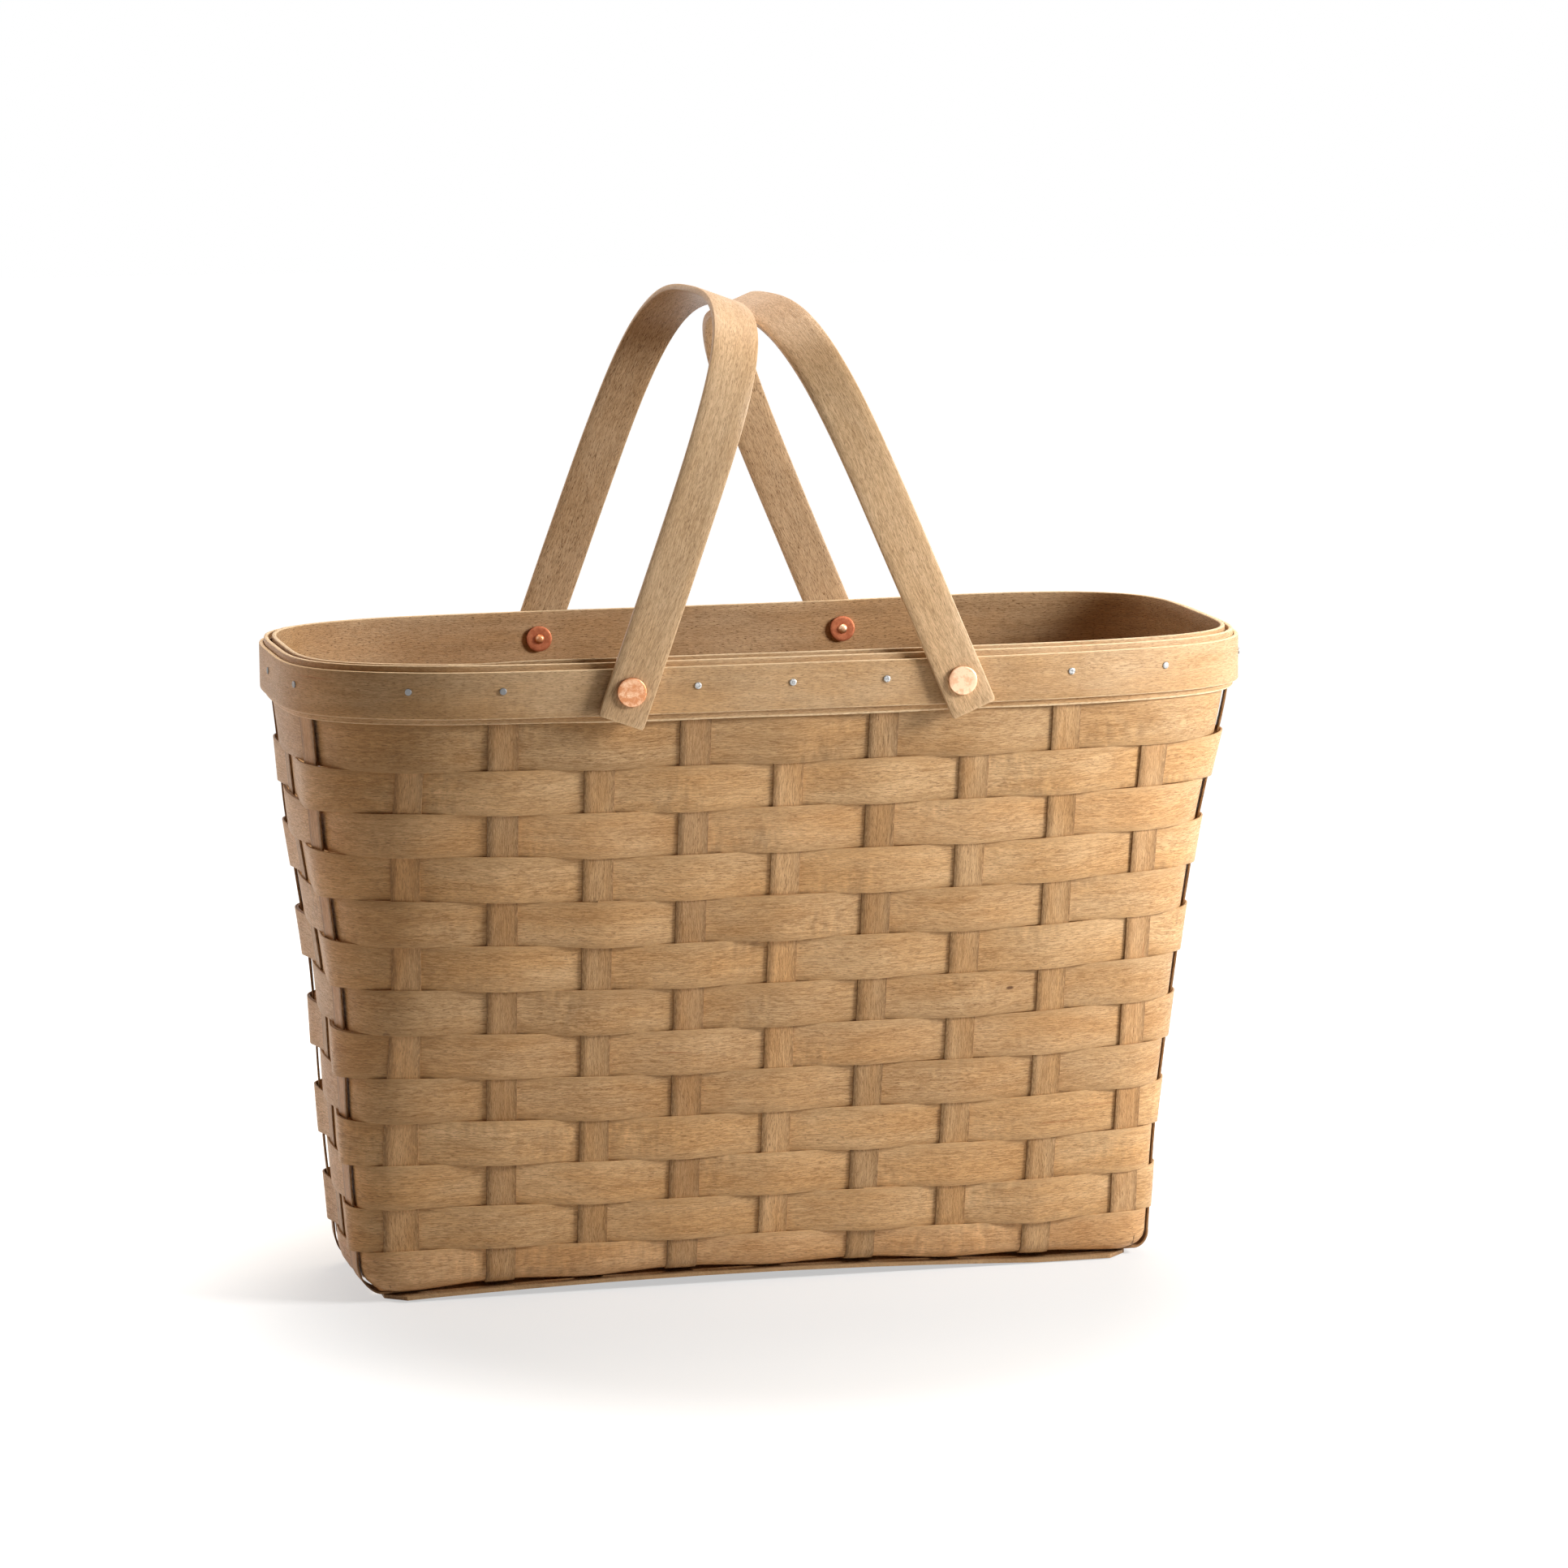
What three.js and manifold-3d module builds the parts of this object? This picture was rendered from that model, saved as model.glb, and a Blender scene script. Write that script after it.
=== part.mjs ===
// Tote basket of woven wood splints, with two swing handles on copper rivets.
// Millimetres, +Z up. X runs along the basket and Y across it.
// The origin is the middle of the base board's underside, which the basket stands on.
import * as THREE from 'three';
import { mergeVertices } from 'three/addons/utils/BufferGeometryUtils.js';
import Module from 'manifold-3d';

const wasm = await Module();
wasm.setup();

// Gap between pieces that touch.
const clearance = 0.3;

// Rim, to the outer face of the outermost band.
const rimHalfLength = 217;
const rimHalfDepth = 112.5;
const rimTopHeight = 288.5;
const rimCornerPower = 3.9;

// How far the rim stands out beyond the foot of the woven body, at the ends and at the sides.
const endFlare = 38;
const sideFlare = 67;
const baseHalfLength = rimHalfLength - endFlare;
const baseHalfDepth = rimHalfDepth - sideFlare;
const baseCornerPower = 12;
const heelRadius = 6;
const endFlarePower = 1.35;

// Splints.
const stakeWidth = 13.2;
const stakeThickness = 1.1;
const weaverThickness = 1;
const weaverRowGap = 0.6;
const weaverGrip = 1.2;
const bottomRowHeight = 16.3;
const crossStakeCount = 9;
const endStakeCount = 3;
const endStakeRimPitch = 54;
const rowCount = 13;
const heelTurnOfBottomRow = Math.PI / 3;

// Rim bands.
const wideBandHeight = 25.4;
const narrowBandHeight = 20.2;
const innerBandRise = 1.7;
const outerBandThickness = 2;
const innerBandThickness = 2;
const stakeTopInset = 2;

// Base board.
const boardThickness = 2.2;
const boardEndInset = 7;
const boardSideInset = 0.5;
const boardHalfLength = baseHalfLength - boardEndInset;
const boardHalfDepth = baseHalfDepth - boardSideInset;
const boardClip = 9;

// Handles.
const handleHeight = 171.5;
const handleWidth = 20.6;
const handleThickness = 3;
const handleTail = 14;
const handleSideGap = 0.6;
const leftHandleTilt = THREE.MathUtils.degToRad(20.1);
const pivotDrop = 12.3;
const pivotPitchShare = 1.75;
const archHeightPower = 0.329;
const archWidthPower = 0.701;
const archDrawInShare = 0.041;
const legShare = 0.78;

// Copper rivets and their burrs.
const rivetHeadRadius = 6.35;
const rivetHeadThickness = 1.7;
const rivetHeadEdgeShare = 0.45;
const rivetShankRadius = 1.6;
const rivetEndRadius = 2.3;
const rivetEndLength = 1.6;
const burrRadius = 5.95;
const burrThickness = 1.5;

// Rim nails.
const nailHeadRadius = 1.5;
const nailHeadThickness = 0.6;
const nailShankRadius = 0.7;
const nailClinchRadius = 1.2;
const nailClinchLength = 0.5;
const nailDrop = 10.9;

// Counts of facets.
const roundFacets = 12;
const nailFacets = 6;
const heelSteps = 3;
const legSteps = 7;
const archSteps = 9;
const stakeWallSteps = 7;
const cornerSamples = 3;

// Small step used to measure a slope.
const probe = 0.01;

// Levels and offsets that follow from the sizes above.
// The bands' lower edges lie just above the wall's slope, so the bands stand upright.
const wallTop = rimTopHeight - wideBandHeight;
const crossingLift = stakeThickness + clearance;
const gripHalf = stakeWidth / 2 + weaverGrip;
const weaverOffset = stakeThickness / 2 + clearance + weaverThickness / 2;
const floorLevel = boardThickness + clearance + stakeThickness / 2 + crossingLift;
const heelTop = floorLevel + heelRadius;
const heelEnd = heelTop - heelRadius * Math.PI / 2;
const wideBandOffset = stakeThickness / 2 + clearance + outerBandThickness / 2;
const narrowBandOffset = wideBandOffset + outerBandThickness + clearance;
const innerBandOffset = -(stakeThickness / 2 + clearance + innerBandThickness / 2);
const rimOuterOffset = narrowBandOffset + outerBandThickness / 2;
const rimInnerOffset = innerBandOffset - innerBandThickness / 2;
const wallHalfLength = rimHalfLength - rimOuterOffset;
const wallHalfDepth = rimHalfDepth - rimOuterOffset;
const bottomRowTop = floorLevel + bottomRowHeight;
const rowsTop = wallTop - 2 * clearance;
const rowPitch = (rowsTop - bottomRowTop) / (rowCount - 1);
const bandFoot = wallTop + probe;
const stakePitch = 2 * (baseHalfLength - heelRadius - stakeWidth / 2 - clearance) / (crossStakeCount - 1);
const pivotHalfPitch = pivotPitchShare * stakePitch;
const pivotHeight = rimTopHeight - pivotDrop;
const nailHeight = rimTopHeight - nailDrop;
const strapFace = rimHalfDepth + handleSideGap;

const lightSplint = { color: 0xc9a97b, roughness: 0.62, metalness: 0 };
const stakeSplint = { color: 0xb8966a, roughness: 0.68, metalness: 0 };
const bandSplint = { color: 0xb99a70, roughness: 0.6, metalness: 0 };
const strapWood = { color: 0xc8aa80, roughness: 0.55, metalness: 0 };
const copper = { color: 0xd98a5e, roughness: 0.35, metalness: 1 };
const darkCopper = { color: 0x9c4f36, roughness: 0.45, metalness: 1 };
const nailMetal = { color: 0xb8bcc0, roughness: 0.4, metalness: 1 };

const basket = new THREE.Group();

const mix = (from, to, share) => from + (to - from) * share;
const heightShare = (z) => THREE.MathUtils.clamp(z / wallTop, 0, 1);

// The woven body's outline at a height: a rounded rectangle given by its half sizes and corner power.
function outlineAt(z) {
  const share = heightShare(z);
  return {
    a: mix(baseHalfLength, wallHalfLength, share ** endFlarePower),
    b: mix(baseHalfDepth, wallHalfDepth, share),
    power: 1 / mix(1 / baseCornerPower, 1 / rimCornerPower, share),
  };
}

// A level runs up the wall. Below the heel's top it follows the quarter circle that turns under.
function wallStation(level) {
  if (level >= heelTop) return { z: level, inset: 0, turnShare: 0 };
  const turn = (heelTop - level) / heelRadius;
  return {
    z: heelTop - heelRadius * Math.sin(turn),
    inset: heelRadius * (1 - Math.cos(turn)),
    turnShare: turn / (Math.PI / 2),
  };
}

// Half size across the outline at a given place along it.
const acrossAt = (place, along, across, power) => across * (1 - Math.abs(place / along) ** power) ** (1 / power);

const bottomFlatHalfDepth = (() => {
  const { a, b, power } = outlineAt(floorLevel);
  return acrossAt(stakePitch * (crossStakeCount - 1) / 2, a, b, power) - heelRadius;
})();
const endStakeBasePitch = 2 * (bottomFlatHalfDepth - stakeWidth / 2 - clearance) / (endStakeCount - 1);

// Lines up the wall, listed round the basket as seen from above, starting at the front left.
function stakeLines() {
  const lines = [];
  const crossHalf = (crossStakeCount - 1) / 2;
  const endHalf = (endStakeCount - 1) / 2;
  for (let i = 0; i < crossStakeCount; i += 1) lines.push({ across: true, side: -1, step: i - crossHalf });
  for (let j = 0; j < endStakeCount; j += 1) lines.push({ across: false, side: 1, step: j - endHalf });
  for (let i = 0; i < crossStakeCount; i += 1) lines.push({ across: true, side: 1, step: crossHalf - i });
  for (let j = 0; j < endStakeCount; j += 1) lines.push({ across: false, side: -1, step: endHalf - j });
  return lines;
}
const lines = stakeLines();

// Where a stake's line crosses a level.
function pointOnLine(line, level) {
  const { z, inset } = wallStation(level);
  const { a, b, power } = outlineAt(z);
  if (line.across) {
    const x = line.step * stakePitch;
    return new THREE.Vector3(x, line.side * (acrossAt(x, a, b, power) - inset), z);
  }
  const y = line.step * mix(endStakeBasePitch, endStakeRimPitch, heightShare(z));
  return new THREE.Vector3(line.side * (acrossAt(y, b, a, power) - inset), y, z);
}

// The outline's angle at a place beside a line, so that places between two lines can be found.
function angleBeside(line, along, level) {
  const { z } = wallStation(level);
  const { a, b, power } = outlineAt(z);
  if (line.across) {
    const x = line.step * stakePitch - line.side * along;
    return line.side * Math.acos(Math.sign(x) * Math.abs(x / a) ** (power / 2));
  }
  const y = line.step * mix(endStakeBasePitch, endStakeRimPitch, heightShare(z)) + line.side * along;
  const sine = Math.sign(y) * Math.abs(y / b) ** (power / 2);
  return line.side > 0 ? Math.asin(sine) : Math.PI - Math.asin(sine);
}

// A place on the wall by its angle round the outline.
function pointAtAngle(angle, level) {
  const { z, inset } = wallStation(level);
  const { a, b, power } = outlineAt(z);
  const c = Math.cos(angle);
  const s = Math.sin(angle);
  const x = a * Math.sign(c) * Math.abs(c) ** (2 / power);
  const y = b * Math.sign(s) * Math.abs(s) ** (2 / power);
  const out = outwardInPlan(x, y, a, b, power);
  return new THREE.Vector3(x - out.x * inset, y - out.y * inset, z);
}

function outwardInPlan(x, y, a, b, power) {
  const gx = Math.sign(x) * Math.abs(x / a) ** (power - 1) / a;
  const gy = Math.sign(y) * Math.abs(y / b) ** (power - 1) / b;
  return new THREE.Vector3(gx, gy, 0).normalize();
}

// Point, tangent round the basket and outward normal of the wall's middle surface.
// A stake's strip turns square to its own run as it goes under.
function frameFrom(pointAt, level, square) {
  const point = pointAt(level);
  const { z, inset, turnShare } = wallStation(level);
  const { a, b, power } = outlineAt(z);
  const out = outwardInPlan(point.x * a / (a - inset), point.y * b / (b - inset), a, b, power);
  if (square) out.lerp(square, turnShare).normalize();
  const tangent = new THREE.Vector3(-out.y, out.x, 0);
  const rise = pointAt(level + probe).sub(pointAt(Math.max(level - probe, heelEnd))).normalize();
  const normal = tangent.clone().cross(rise).normalize();
  return { point, tangent, normal };
}
const frameOnLine = (line, level) => frameFrom((at) => pointOnLine(line, at), level,
  line.across ? new THREE.Vector3(0, line.side, 0) : new THREE.Vector3(line.side, 0, 0));
const frameBetween = (line, next, share, level) => frameFrom((at) => {
  const start = angleBeside(line, gripHalf, at);
  let sweep = angleBeside(next, -gripHalf, at) - start;
  if (sweep < 0) sweep += 2 * Math.PI;
  return pointAtAngle(start + sweep * share, at);
}, level);

const offsetPoint = (frame, along, outward) => frame.point.clone()
  .addScaledVector(frame.tangent, along)
  .addScaledVector(frame.normal, outward);

// Joins rings of equal length into one closed body, either round a hoop or between two ends.
// A ring lists one side's points up and then the other side's down, so its ends are strips.
function solidFromRings(rings, closed) {
  const size = rings[0].length;
  const positions = rings.flat().flatMap((p) => [p.x, p.y, p.z]);
  const index = [];
  const quad = (a, b, c, d) => index.push(a, b, c, a, c, d);
  const last = closed ? rings.length : rings.length - 1;
  for (let r = 0; r < last; r += 1) {
    const here = r * size;
    const there = ((r + 1) % rings.length) * size;
    for (let k = 0; k < size; k += 1) {
      const next = (k + 1) % size;
      quad(here + k, here + next, there + next, there + k);
    }
  }
  if (!closed) {
    const end = (rings.length - 1) * size;
    for (let k = 0; k < size / 2 - 1; k += 1) {
      quad(k + 1, k, size - 1 - k, size - 2 - k);
      quad(end + k, end + k + 1, end + size - 2 - k, end + size - 1 - k);
    }
  }
  const geometry = new THREE.BufferGeometry();
  geometry.setAttribute('position', new THREE.Float32BufferAttribute(positions, 3));
  geometry.setIndex(index);
  return facingOut(geometry);
}

// Turns a closed body's faces outwards if its volume comes out negative.
function facingOut(geometry) {
  const p = geometry.getAttribute('position');
  const index = geometry.getIndex().array;
  const corner = (i) => new THREE.Vector3().fromBufferAttribute(p, index[i]);
  let volume = 0;
  for (let i = 0; i < index.length; i += 3) volume += corner(i).dot(corner(i + 1).cross(corner(i + 2)));
  if (volume < 0) {
    for (let i = 0; i < index.length; i += 3) [index[i + 1], index[i + 2]] = [index[i + 2], index[i + 1]];
  }
  return geometry;
}

function toSolid(geometry) {
  const bare = geometry.clone();
  bare.deleteAttribute('normal');
  bare.deleteAttribute('uv');
  const merged = mergeVertices(bare);
  return new wasm.Manifold(new wasm.Mesh({
    numProp: 3,
    vertProperties: new Float32Array(merged.getAttribute('position').array),
    triVerts: new Uint32Array(merged.getIndex().array),
  }));
}

function toGeometry(solid) {
  const mesh = solid.getMesh();
  const geometry = new THREE.BufferGeometry();
  geometry.setAttribute('position', new THREE.BufferAttribute(mesh.vertProperties, 3));
  geometry.setIndex(new THREE.BufferAttribute(mesh.triVerts, 1));
  return geometry;
}

const cutAway = (geometry, cutters) => toGeometry(
  cutters.reduce((solid, cutter) => solid.subtract(toSolid(cutter)), toSolid(geometry)),
);

function addPiece(parent, name, geometry, finish) {
  const mesh = new THREE.Mesh(geometry, new THREE.MeshStandardMaterial(finish));
  mesh.name = name;
  parent.add(mesh);
  return mesh;
}

// A turned shape whose axis is carried to the given place and direction.
function turned(profile, facets, place, direction) {
  const geometry = new THREE.LatheGeometry(profile.map(([r, y]) => new THREE.Vector2(r, y)), facets);
  const turn = new THREE.Quaternion().setFromUnitVectors(new THREE.Vector3(0, 1, 0), direction);
  geometry.applyQuaternion(turn);
  geometry.translate(place.x, place.y, place.z);
  return geometry;
}

const pinCutter = (radius, facets, from, to, place, direction) => turned(
  [[0, from], [radius / Math.cos(Math.PI / facets), from], [radius / Math.cos(Math.PI / facets), to], [0, to]],
  facets, place, direction,
);

// Nails stand at every stake end but those that the handle rivets take the place of.
const rivetedStep = Math.round(pivotPitchShare);
const nailedLines = lines
  .map((line, order) => ({ line, order }))
  .filter(({ line }) => !(line.across && Math.abs(line.step) === rivetedStep));

const nailFrames = new Map(nailedLines.map(({ line, order }) => [order, frameOnLine(line, nailHeight)]));
const nailReach = rimOuterOffset + clearance + nailHeadThickness;

function nailCutter(frame) {
  const radius = nailShankRadius + clearance;
  return pinCutter(radius, nailFacets, -nailReach, nailReach, frame.point, frame.normal);
}

const rivetPlaces = [
  { name: 'front_left', x: -pivotHalfPitch, side: -1 },
  { name: 'front_right', x: pivotHalfPitch, side: -1 },
  { name: 'back_left', x: -pivotHalfPitch, side: 1 },
  { name: 'back_right', x: pivotHalfPitch, side: 1 },
];

function rivetCutter({ x, side }) {
  const place = new THREE.Vector3(x, side * wallHalfDepth, pivotHeight);
  const direction = new THREE.Vector3(0, side, 0);
  const reach = strapFace - wallHalfDepth + handleThickness + rimHalfDepth - wallHalfDepth;
  return pinCutter(rivetShankRadius + clearance, roundFacets / 2, -reach, reach, place, direction);
}

function baseBoard() {
  const outline = new THREE.Shape();
  outline.moveTo(-boardHalfLength + boardClip, -boardHalfDepth);
  outline.lineTo(boardHalfLength - boardClip, -boardHalfDepth);
  outline.lineTo(boardHalfLength, -boardHalfDepth + boardClip);
  outline.lineTo(boardHalfLength, boardHalfDepth - boardClip);
  outline.lineTo(boardHalfLength - boardClip, boardHalfDepth);
  outline.lineTo(-boardHalfLength + boardClip, boardHalfDepth);
  outline.lineTo(-boardHalfLength, boardHalfDepth - boardClip);
  outline.lineTo(-boardHalfLength, -boardHalfDepth + boardClip);
  outline.closePath();
  return new THREE.ExtrudeGeometry(outline, { depth: boardThickness, bevelEnabled: false });
}

// Levels at which a stake is shaped, from its top end in the rim to the end of its heel.
function stakeLevels() {
  const levels = [rimTopHeight - stakeTopInset];
  for (let i = 0; i <= stakeWallSteps; i += 1) levels.push(mix(wallTop, heelTop, i / stakeWallSteps));
  for (let i = 1; i <= heelSteps; i += 1) levels.push(mix(heelTop, heelEnd, i / heelSteps));
  return levels;
}

function stakeRing(frame, widthSign) {
  const w = widthSign * stakeWidth / 2;
  const t = stakeThickness / 2;
  return [offsetPoint(frame, -w, t), offsetPoint(frame, w, t), offsetPoint(frame, w, -t), offsetPoint(frame, -w, -t)];
}

// One strip: down one wall, along the bottom through the given middle frames, and up the other wall.
function stakeSolid(down, middle, up) {
  const levels = stakeLevels();
  const rings = [
    ...levels.map((level) => stakeRing(frameOnLine(down, level), 1)),
    ...middle.map((frame) => stakeRing(frame, 1)),
    ...levels.toReversed().map((level) => stakeRing(frameOnLine(up, level), -1)),
  ];
  return solidFromRings(rings, false);
}

function crossStake(i) {
  const down = lines[i];
  const up = lines[2 * crossStakeCount + endStakeCount - 1 - i];
  return stakeSolid(down, [], up);
}

// A lengthwise stake passes over and under the cross stakes in turn.
function lengthStake(j) {
  const down = lines[lines.length - 1 - j];
  const up = lines[crossStakeCount + j];
  const y = down.step * endStakeBasePitch;
  const frames = [];
  for (let i = 0; i < crossStakeCount; i += 1) {
    const centre = (i - (crossStakeCount - 1) / 2) * stakePitch;
    const lift = (i + j) % 2 === 0 ? -crossingLift : crossingLift;
    [-1, 1].forEach((edge) => frames.push({
      point: new THREE.Vector3(centre + edge * stakeWidth / 2, y, floorLevel + lift),
      tangent: new THREE.Vector3(0, -1, 0),
      normal: new THREE.Vector3(0, 0, -1),
    }));
  }
  return stakeSolid(down, frames, up);
}

// Frames round a hoop at one level: two at each stake, and some between stakes where a corner turns.
function hoopSamples(level, offsetAtLine) {
  const samples = [];
  lines.forEach((line, order) => {
    const frame = frameOnLine(line, level);
    const offset = offsetAtLine(order);
    samples.push({ frame, along: -gripHalf, offset }, { frame, along: gripHalf, offset });
    const next = lines[(order + 1) % lines.length];
    const nextOffset = offsetAtLine((order + 1) % lines.length);
    const count = samplesBetween(line, next);
    for (let i = 1; i <= count; i += 1) {
      const share = i / (count + 1);
      samples.push({
        frame: frameBetween(line, next, share, level),
        along: 0,
        offset: mix(offset, nextOffset, share),
      });
    }
  });
  return samples;
}

function samplesBetween(line, next) {
  if (line.across !== next.across) return cornerSamples;
  const outermost = (crossStakeCount - 1) / 2;
  return line.across && Math.max(Math.abs(line.step), Math.abs(next.step)) === outermost ? 1 : 0;
}

// A closed hoop through the given levels, with its thickness laid along the wall's normal.
function hoop(levels, thickness, offsetAtLine) {
  const perLevel = levels.map((level) => hoopSamples(level, offsetAtLine));
  const rings = perLevel[0].map((unused, i) => {
    const face = (shift) => perLevel.map((samples) => {
      const { frame, along, offset } = samples[i];
      return offsetPoint(frame, along, offset + shift);
    });
    return [...face(thickness / 2), ...face(-thickness / 2).toReversed()];
  });
  return solidFromRings(rings, true);
}

// Levels of a row's edges. The bottom row also follows the heel.
function rowLevels(row) {
  const top = rowsTop - row * rowPitch - weaverRowGap / 2;
  if (row < rowCount - 1) return [top - rowPitch + weaverRowGap, top];
  const lowest = heelTop - heelRadius * heelTurnOfBottomRow;
  return [lowest, mix(lowest, heelTop, 1 / 2), heelTop, top];
}

function weaver(row) {
  return hoop(rowLevels(row), weaverThickness, (order) => ((order + row) % 2 === 0 ? weaverOffset : -weaverOffset));
}

function rimBand(low, high, thickness, offset) {
  const cutters = [...nailFrames.values()].map(nailCutter).concat(rivetPlaces.map(rivetCutter));
  return cutAway(hoop([low, high], thickness, () => offset), cutters);
}

// The handle's middle line in its own upright plane: y across the basket and h above the pivot.
function handlePath() {
  const centre = strapFace + handleThickness / 2;
  const legAngle = Math.acos(legShare ** (1 / archHeightPower));
  const angles = [];
  for (let i = 0; i < legSteps; i += 1) {
    angles.push(Math.acos((legShare * i / legSteps) ** (1 / archHeightPower)));
  }
  for (let i = 0; i <= archSteps; i += 1) angles.push(legAngle * (1 - i / archSteps));
  const half = angles.map((angle) => {
    const heightPart = Math.cos(angle) ** archHeightPower;
    const spread = Math.sin(angle) ** archWidthPower * (1 - archDrawInShare * heightPart);
    return new THREE.Vector2(centre * spread, handleHeight * heightPart);
  });
  half[0].y = 0;
  half.unshift(new THREE.Vector2(centre, -handleTail));
  const other = half.slice(0, -1).reverse().map((p) => new THREE.Vector2(-p.x, p.y));
  return [...half, ...other];
}

function handleStrap() {
  const path = handlePath();
  const rings = path.map((p, i) => {
    const before = path[Math.max(i - 1, 0)];
    const after = path[Math.min(i + 1, path.length - 1)];
    const run = after.clone().sub(before).normalize();
    const corner = (x, shift) => new THREE.Vector3(x, p.x + run.y * shift, p.y - run.x * shift);
    const w = handleWidth / 2;
    const t = handleThickness / 2;
    return [corner(-w, t), corner(w, t), corner(w, -t), corner(-w, -t)];
  });
  const holes = [-1, 1].map((side) => pinCutter(
    rivetShankRadius + clearance, roundFacets, -handleThickness, handleThickness,
    new THREE.Vector3(0, side * (strapFace + handleThickness / 2), 0), new THREE.Vector3(0, side, 0),
  ));
  return cutAway(solidFromRings(rings, false), holes);
}

// The right handle leans back until its edge meets the left one's.
function rightHandleTilt() {
  const meeting = handleHeight * Math.sin(leftHandleTilt) + handleWidth / 2 * Math.cos(leftHandleTilt);
  const room = 2 * pivotHalfPitch - meeting - clearance;
  const reach = Math.hypot(handleHeight, handleWidth / 2);
  return Math.asin(room / reach) - Math.atan2(handleWidth / 2, handleHeight);
}

// Inner face of the rim at a place along it.
function rimInnerFace(x) {
  return acrossAt(x, wallHalfLength, wallHalfDepth, rimCornerPower) + rimInnerOffset;
}

// Rivet: a low domed head outside the strap, a shank through the rim and a peened end inside the burr.
function rivet({ x, side }) {
  const headFace = strapFace + handleThickness + clearance;
  const burrFace = rimInnerFace(pivotHalfPitch + burrRadius) - clearance;
  const shankEnd = burrFace - burrThickness - clearance;
  const profile = [
    [0, headFace + rivetHeadThickness],
    [rivetHeadRadius * rivetHeadEdgeShare, headFace + rivetHeadThickness],
    [rivetHeadRadius, headFace + rivetHeadThickness * rivetHeadEdgeShare],
    [rivetHeadRadius, headFace],
    [rivetShankRadius, headFace],
    [rivetShankRadius, shankEnd],
    [rivetEndRadius, shankEnd],
    [rivetShankRadius, shankEnd - rivetEndLength],
    [0, shankEnd - rivetEndLength],
  ].reverse();
  return turned(profile, roundFacets, new THREE.Vector3(x, 0, pivotHeight), new THREE.Vector3(0, side, 0));
}

// Burr: the washer that the rivet's end is peened over.
function burr({ x, side }) {
  const outer = rimInnerFace(pivotHalfPitch + burrRadius) - clearance;
  const inner = outer - burrThickness;
  const hole = rivetShankRadius + clearance;
  const profile = [[hole, inner], [burrRadius, inner], [burrRadius, outer], [hole, outer], [hole, inner]];
  return turned(profile, roundFacets, new THREE.Vector3(x, 0, pivotHeight), new THREE.Vector3(0, side, 0));
}

// Nail: a small head on the outer band and a clinched end inside the inner band.
function nail(frame) {
  const headFace = rimOuterOffset + clearance;
  const clinchFace = rimInnerOffset - clearance;
  const profile = [
    [0, clinchFace - nailClinchLength],
    [nailClinchRadius, clinchFace - nailClinchLength],
    [nailClinchRadius, clinchFace],
    [nailShankRadius, clinchFace],
    [nailShankRadius, headFace],
    [nailHeadRadius, headFace],
    [nailHeadRadius, headFace + nailHeadThickness],
    [0, headFace + nailHeadThickness],
  ];
  return turned(profile, nailFacets, frame.point, frame.normal);
}

addPiece(basket, 'base_board', baseBoard(), bandSplint);

const drilled = (geometry, orders) => {
  const cutters = orders.filter((order) => nailFrames.has(order)).map((order) => nailCutter(nailFrames.get(order)));
  return cutters.length ? cutAway(geometry, cutters) : geometry;
};
for (let i = 0; i < crossStakeCount; i += 1) {
  const orders = [i, 2 * crossStakeCount + endStakeCount - 1 - i];
  addPiece(basket, `cross_stake_${i + 1}`, drilled(crossStake(i), orders), stakeSplint);
}
for (let j = 0; j < endStakeCount; j += 1) {
  const orders = [lines.length - 1 - j, crossStakeCount + j];
  addPiece(basket, `length_stake_${j + 1}`, drilled(lengthStake(j), orders), stakeSplint);
}
for (let row = 0; row < rowCount; row += 1) addPiece(basket, `weaver_${row + 1}`, weaver(row), lightSplint);

const narrowInset = (wideBandHeight - narrowBandHeight) / 2;
addPiece(basket, 'rim_inner_band',
  rimBand(bandFoot, rimTopHeight + innerBandRise, innerBandThickness, innerBandOffset), bandSplint);
addPiece(basket, 'rim_wide_band',
  rimBand(bandFoot, rimTopHeight, outerBandThickness, wideBandOffset), bandSplint);
addPiece(basket, 'rim_narrow_band',
  rimBand(wallTop + narrowInset, rimTopHeight - narrowInset, outerBandThickness, narrowBandOffset), bandSplint);

const handles = [
  { name: 'handle_left', x: -pivotHalfPitch, tilt: leftHandleTilt },
  { name: 'handle_right', x: pivotHalfPitch, tilt: -rightHandleTilt() },
];
handles.forEach(({ name, x, tilt }) => {
  const mesh = addPiece(basket, name, handleStrap(), strapWood);
  mesh.position.set(x, 0, pivotHeight);
  mesh.rotation.y = tilt;
});

rivetPlaces.forEach((place) => {
  addPiece(basket, `rivet_${place.name}`, rivet(place), copper);
  addPiece(basket, `burr_${place.name}`, burr(place), darkCopper);
});

nailedLines.forEach(({ order }, i) => {
  addPiece(basket, `rim_nail_${i + 1}`, nail(nailFrames.get(order)), nailMetal);
});

export default basket;
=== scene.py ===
"""Looks of a tote basket of woven wood splints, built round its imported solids.

The classes hold their sizes in millimetres, in the frame of the solids: X runs along the
basket, Y across it and Z up, from the underside of the base board. Meshes are in metres.
"""

import logging
import math
from dataclasses import dataclass, field
from enum import Enum

import bpy
import numpy as np
from mathutils import Matrix


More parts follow.
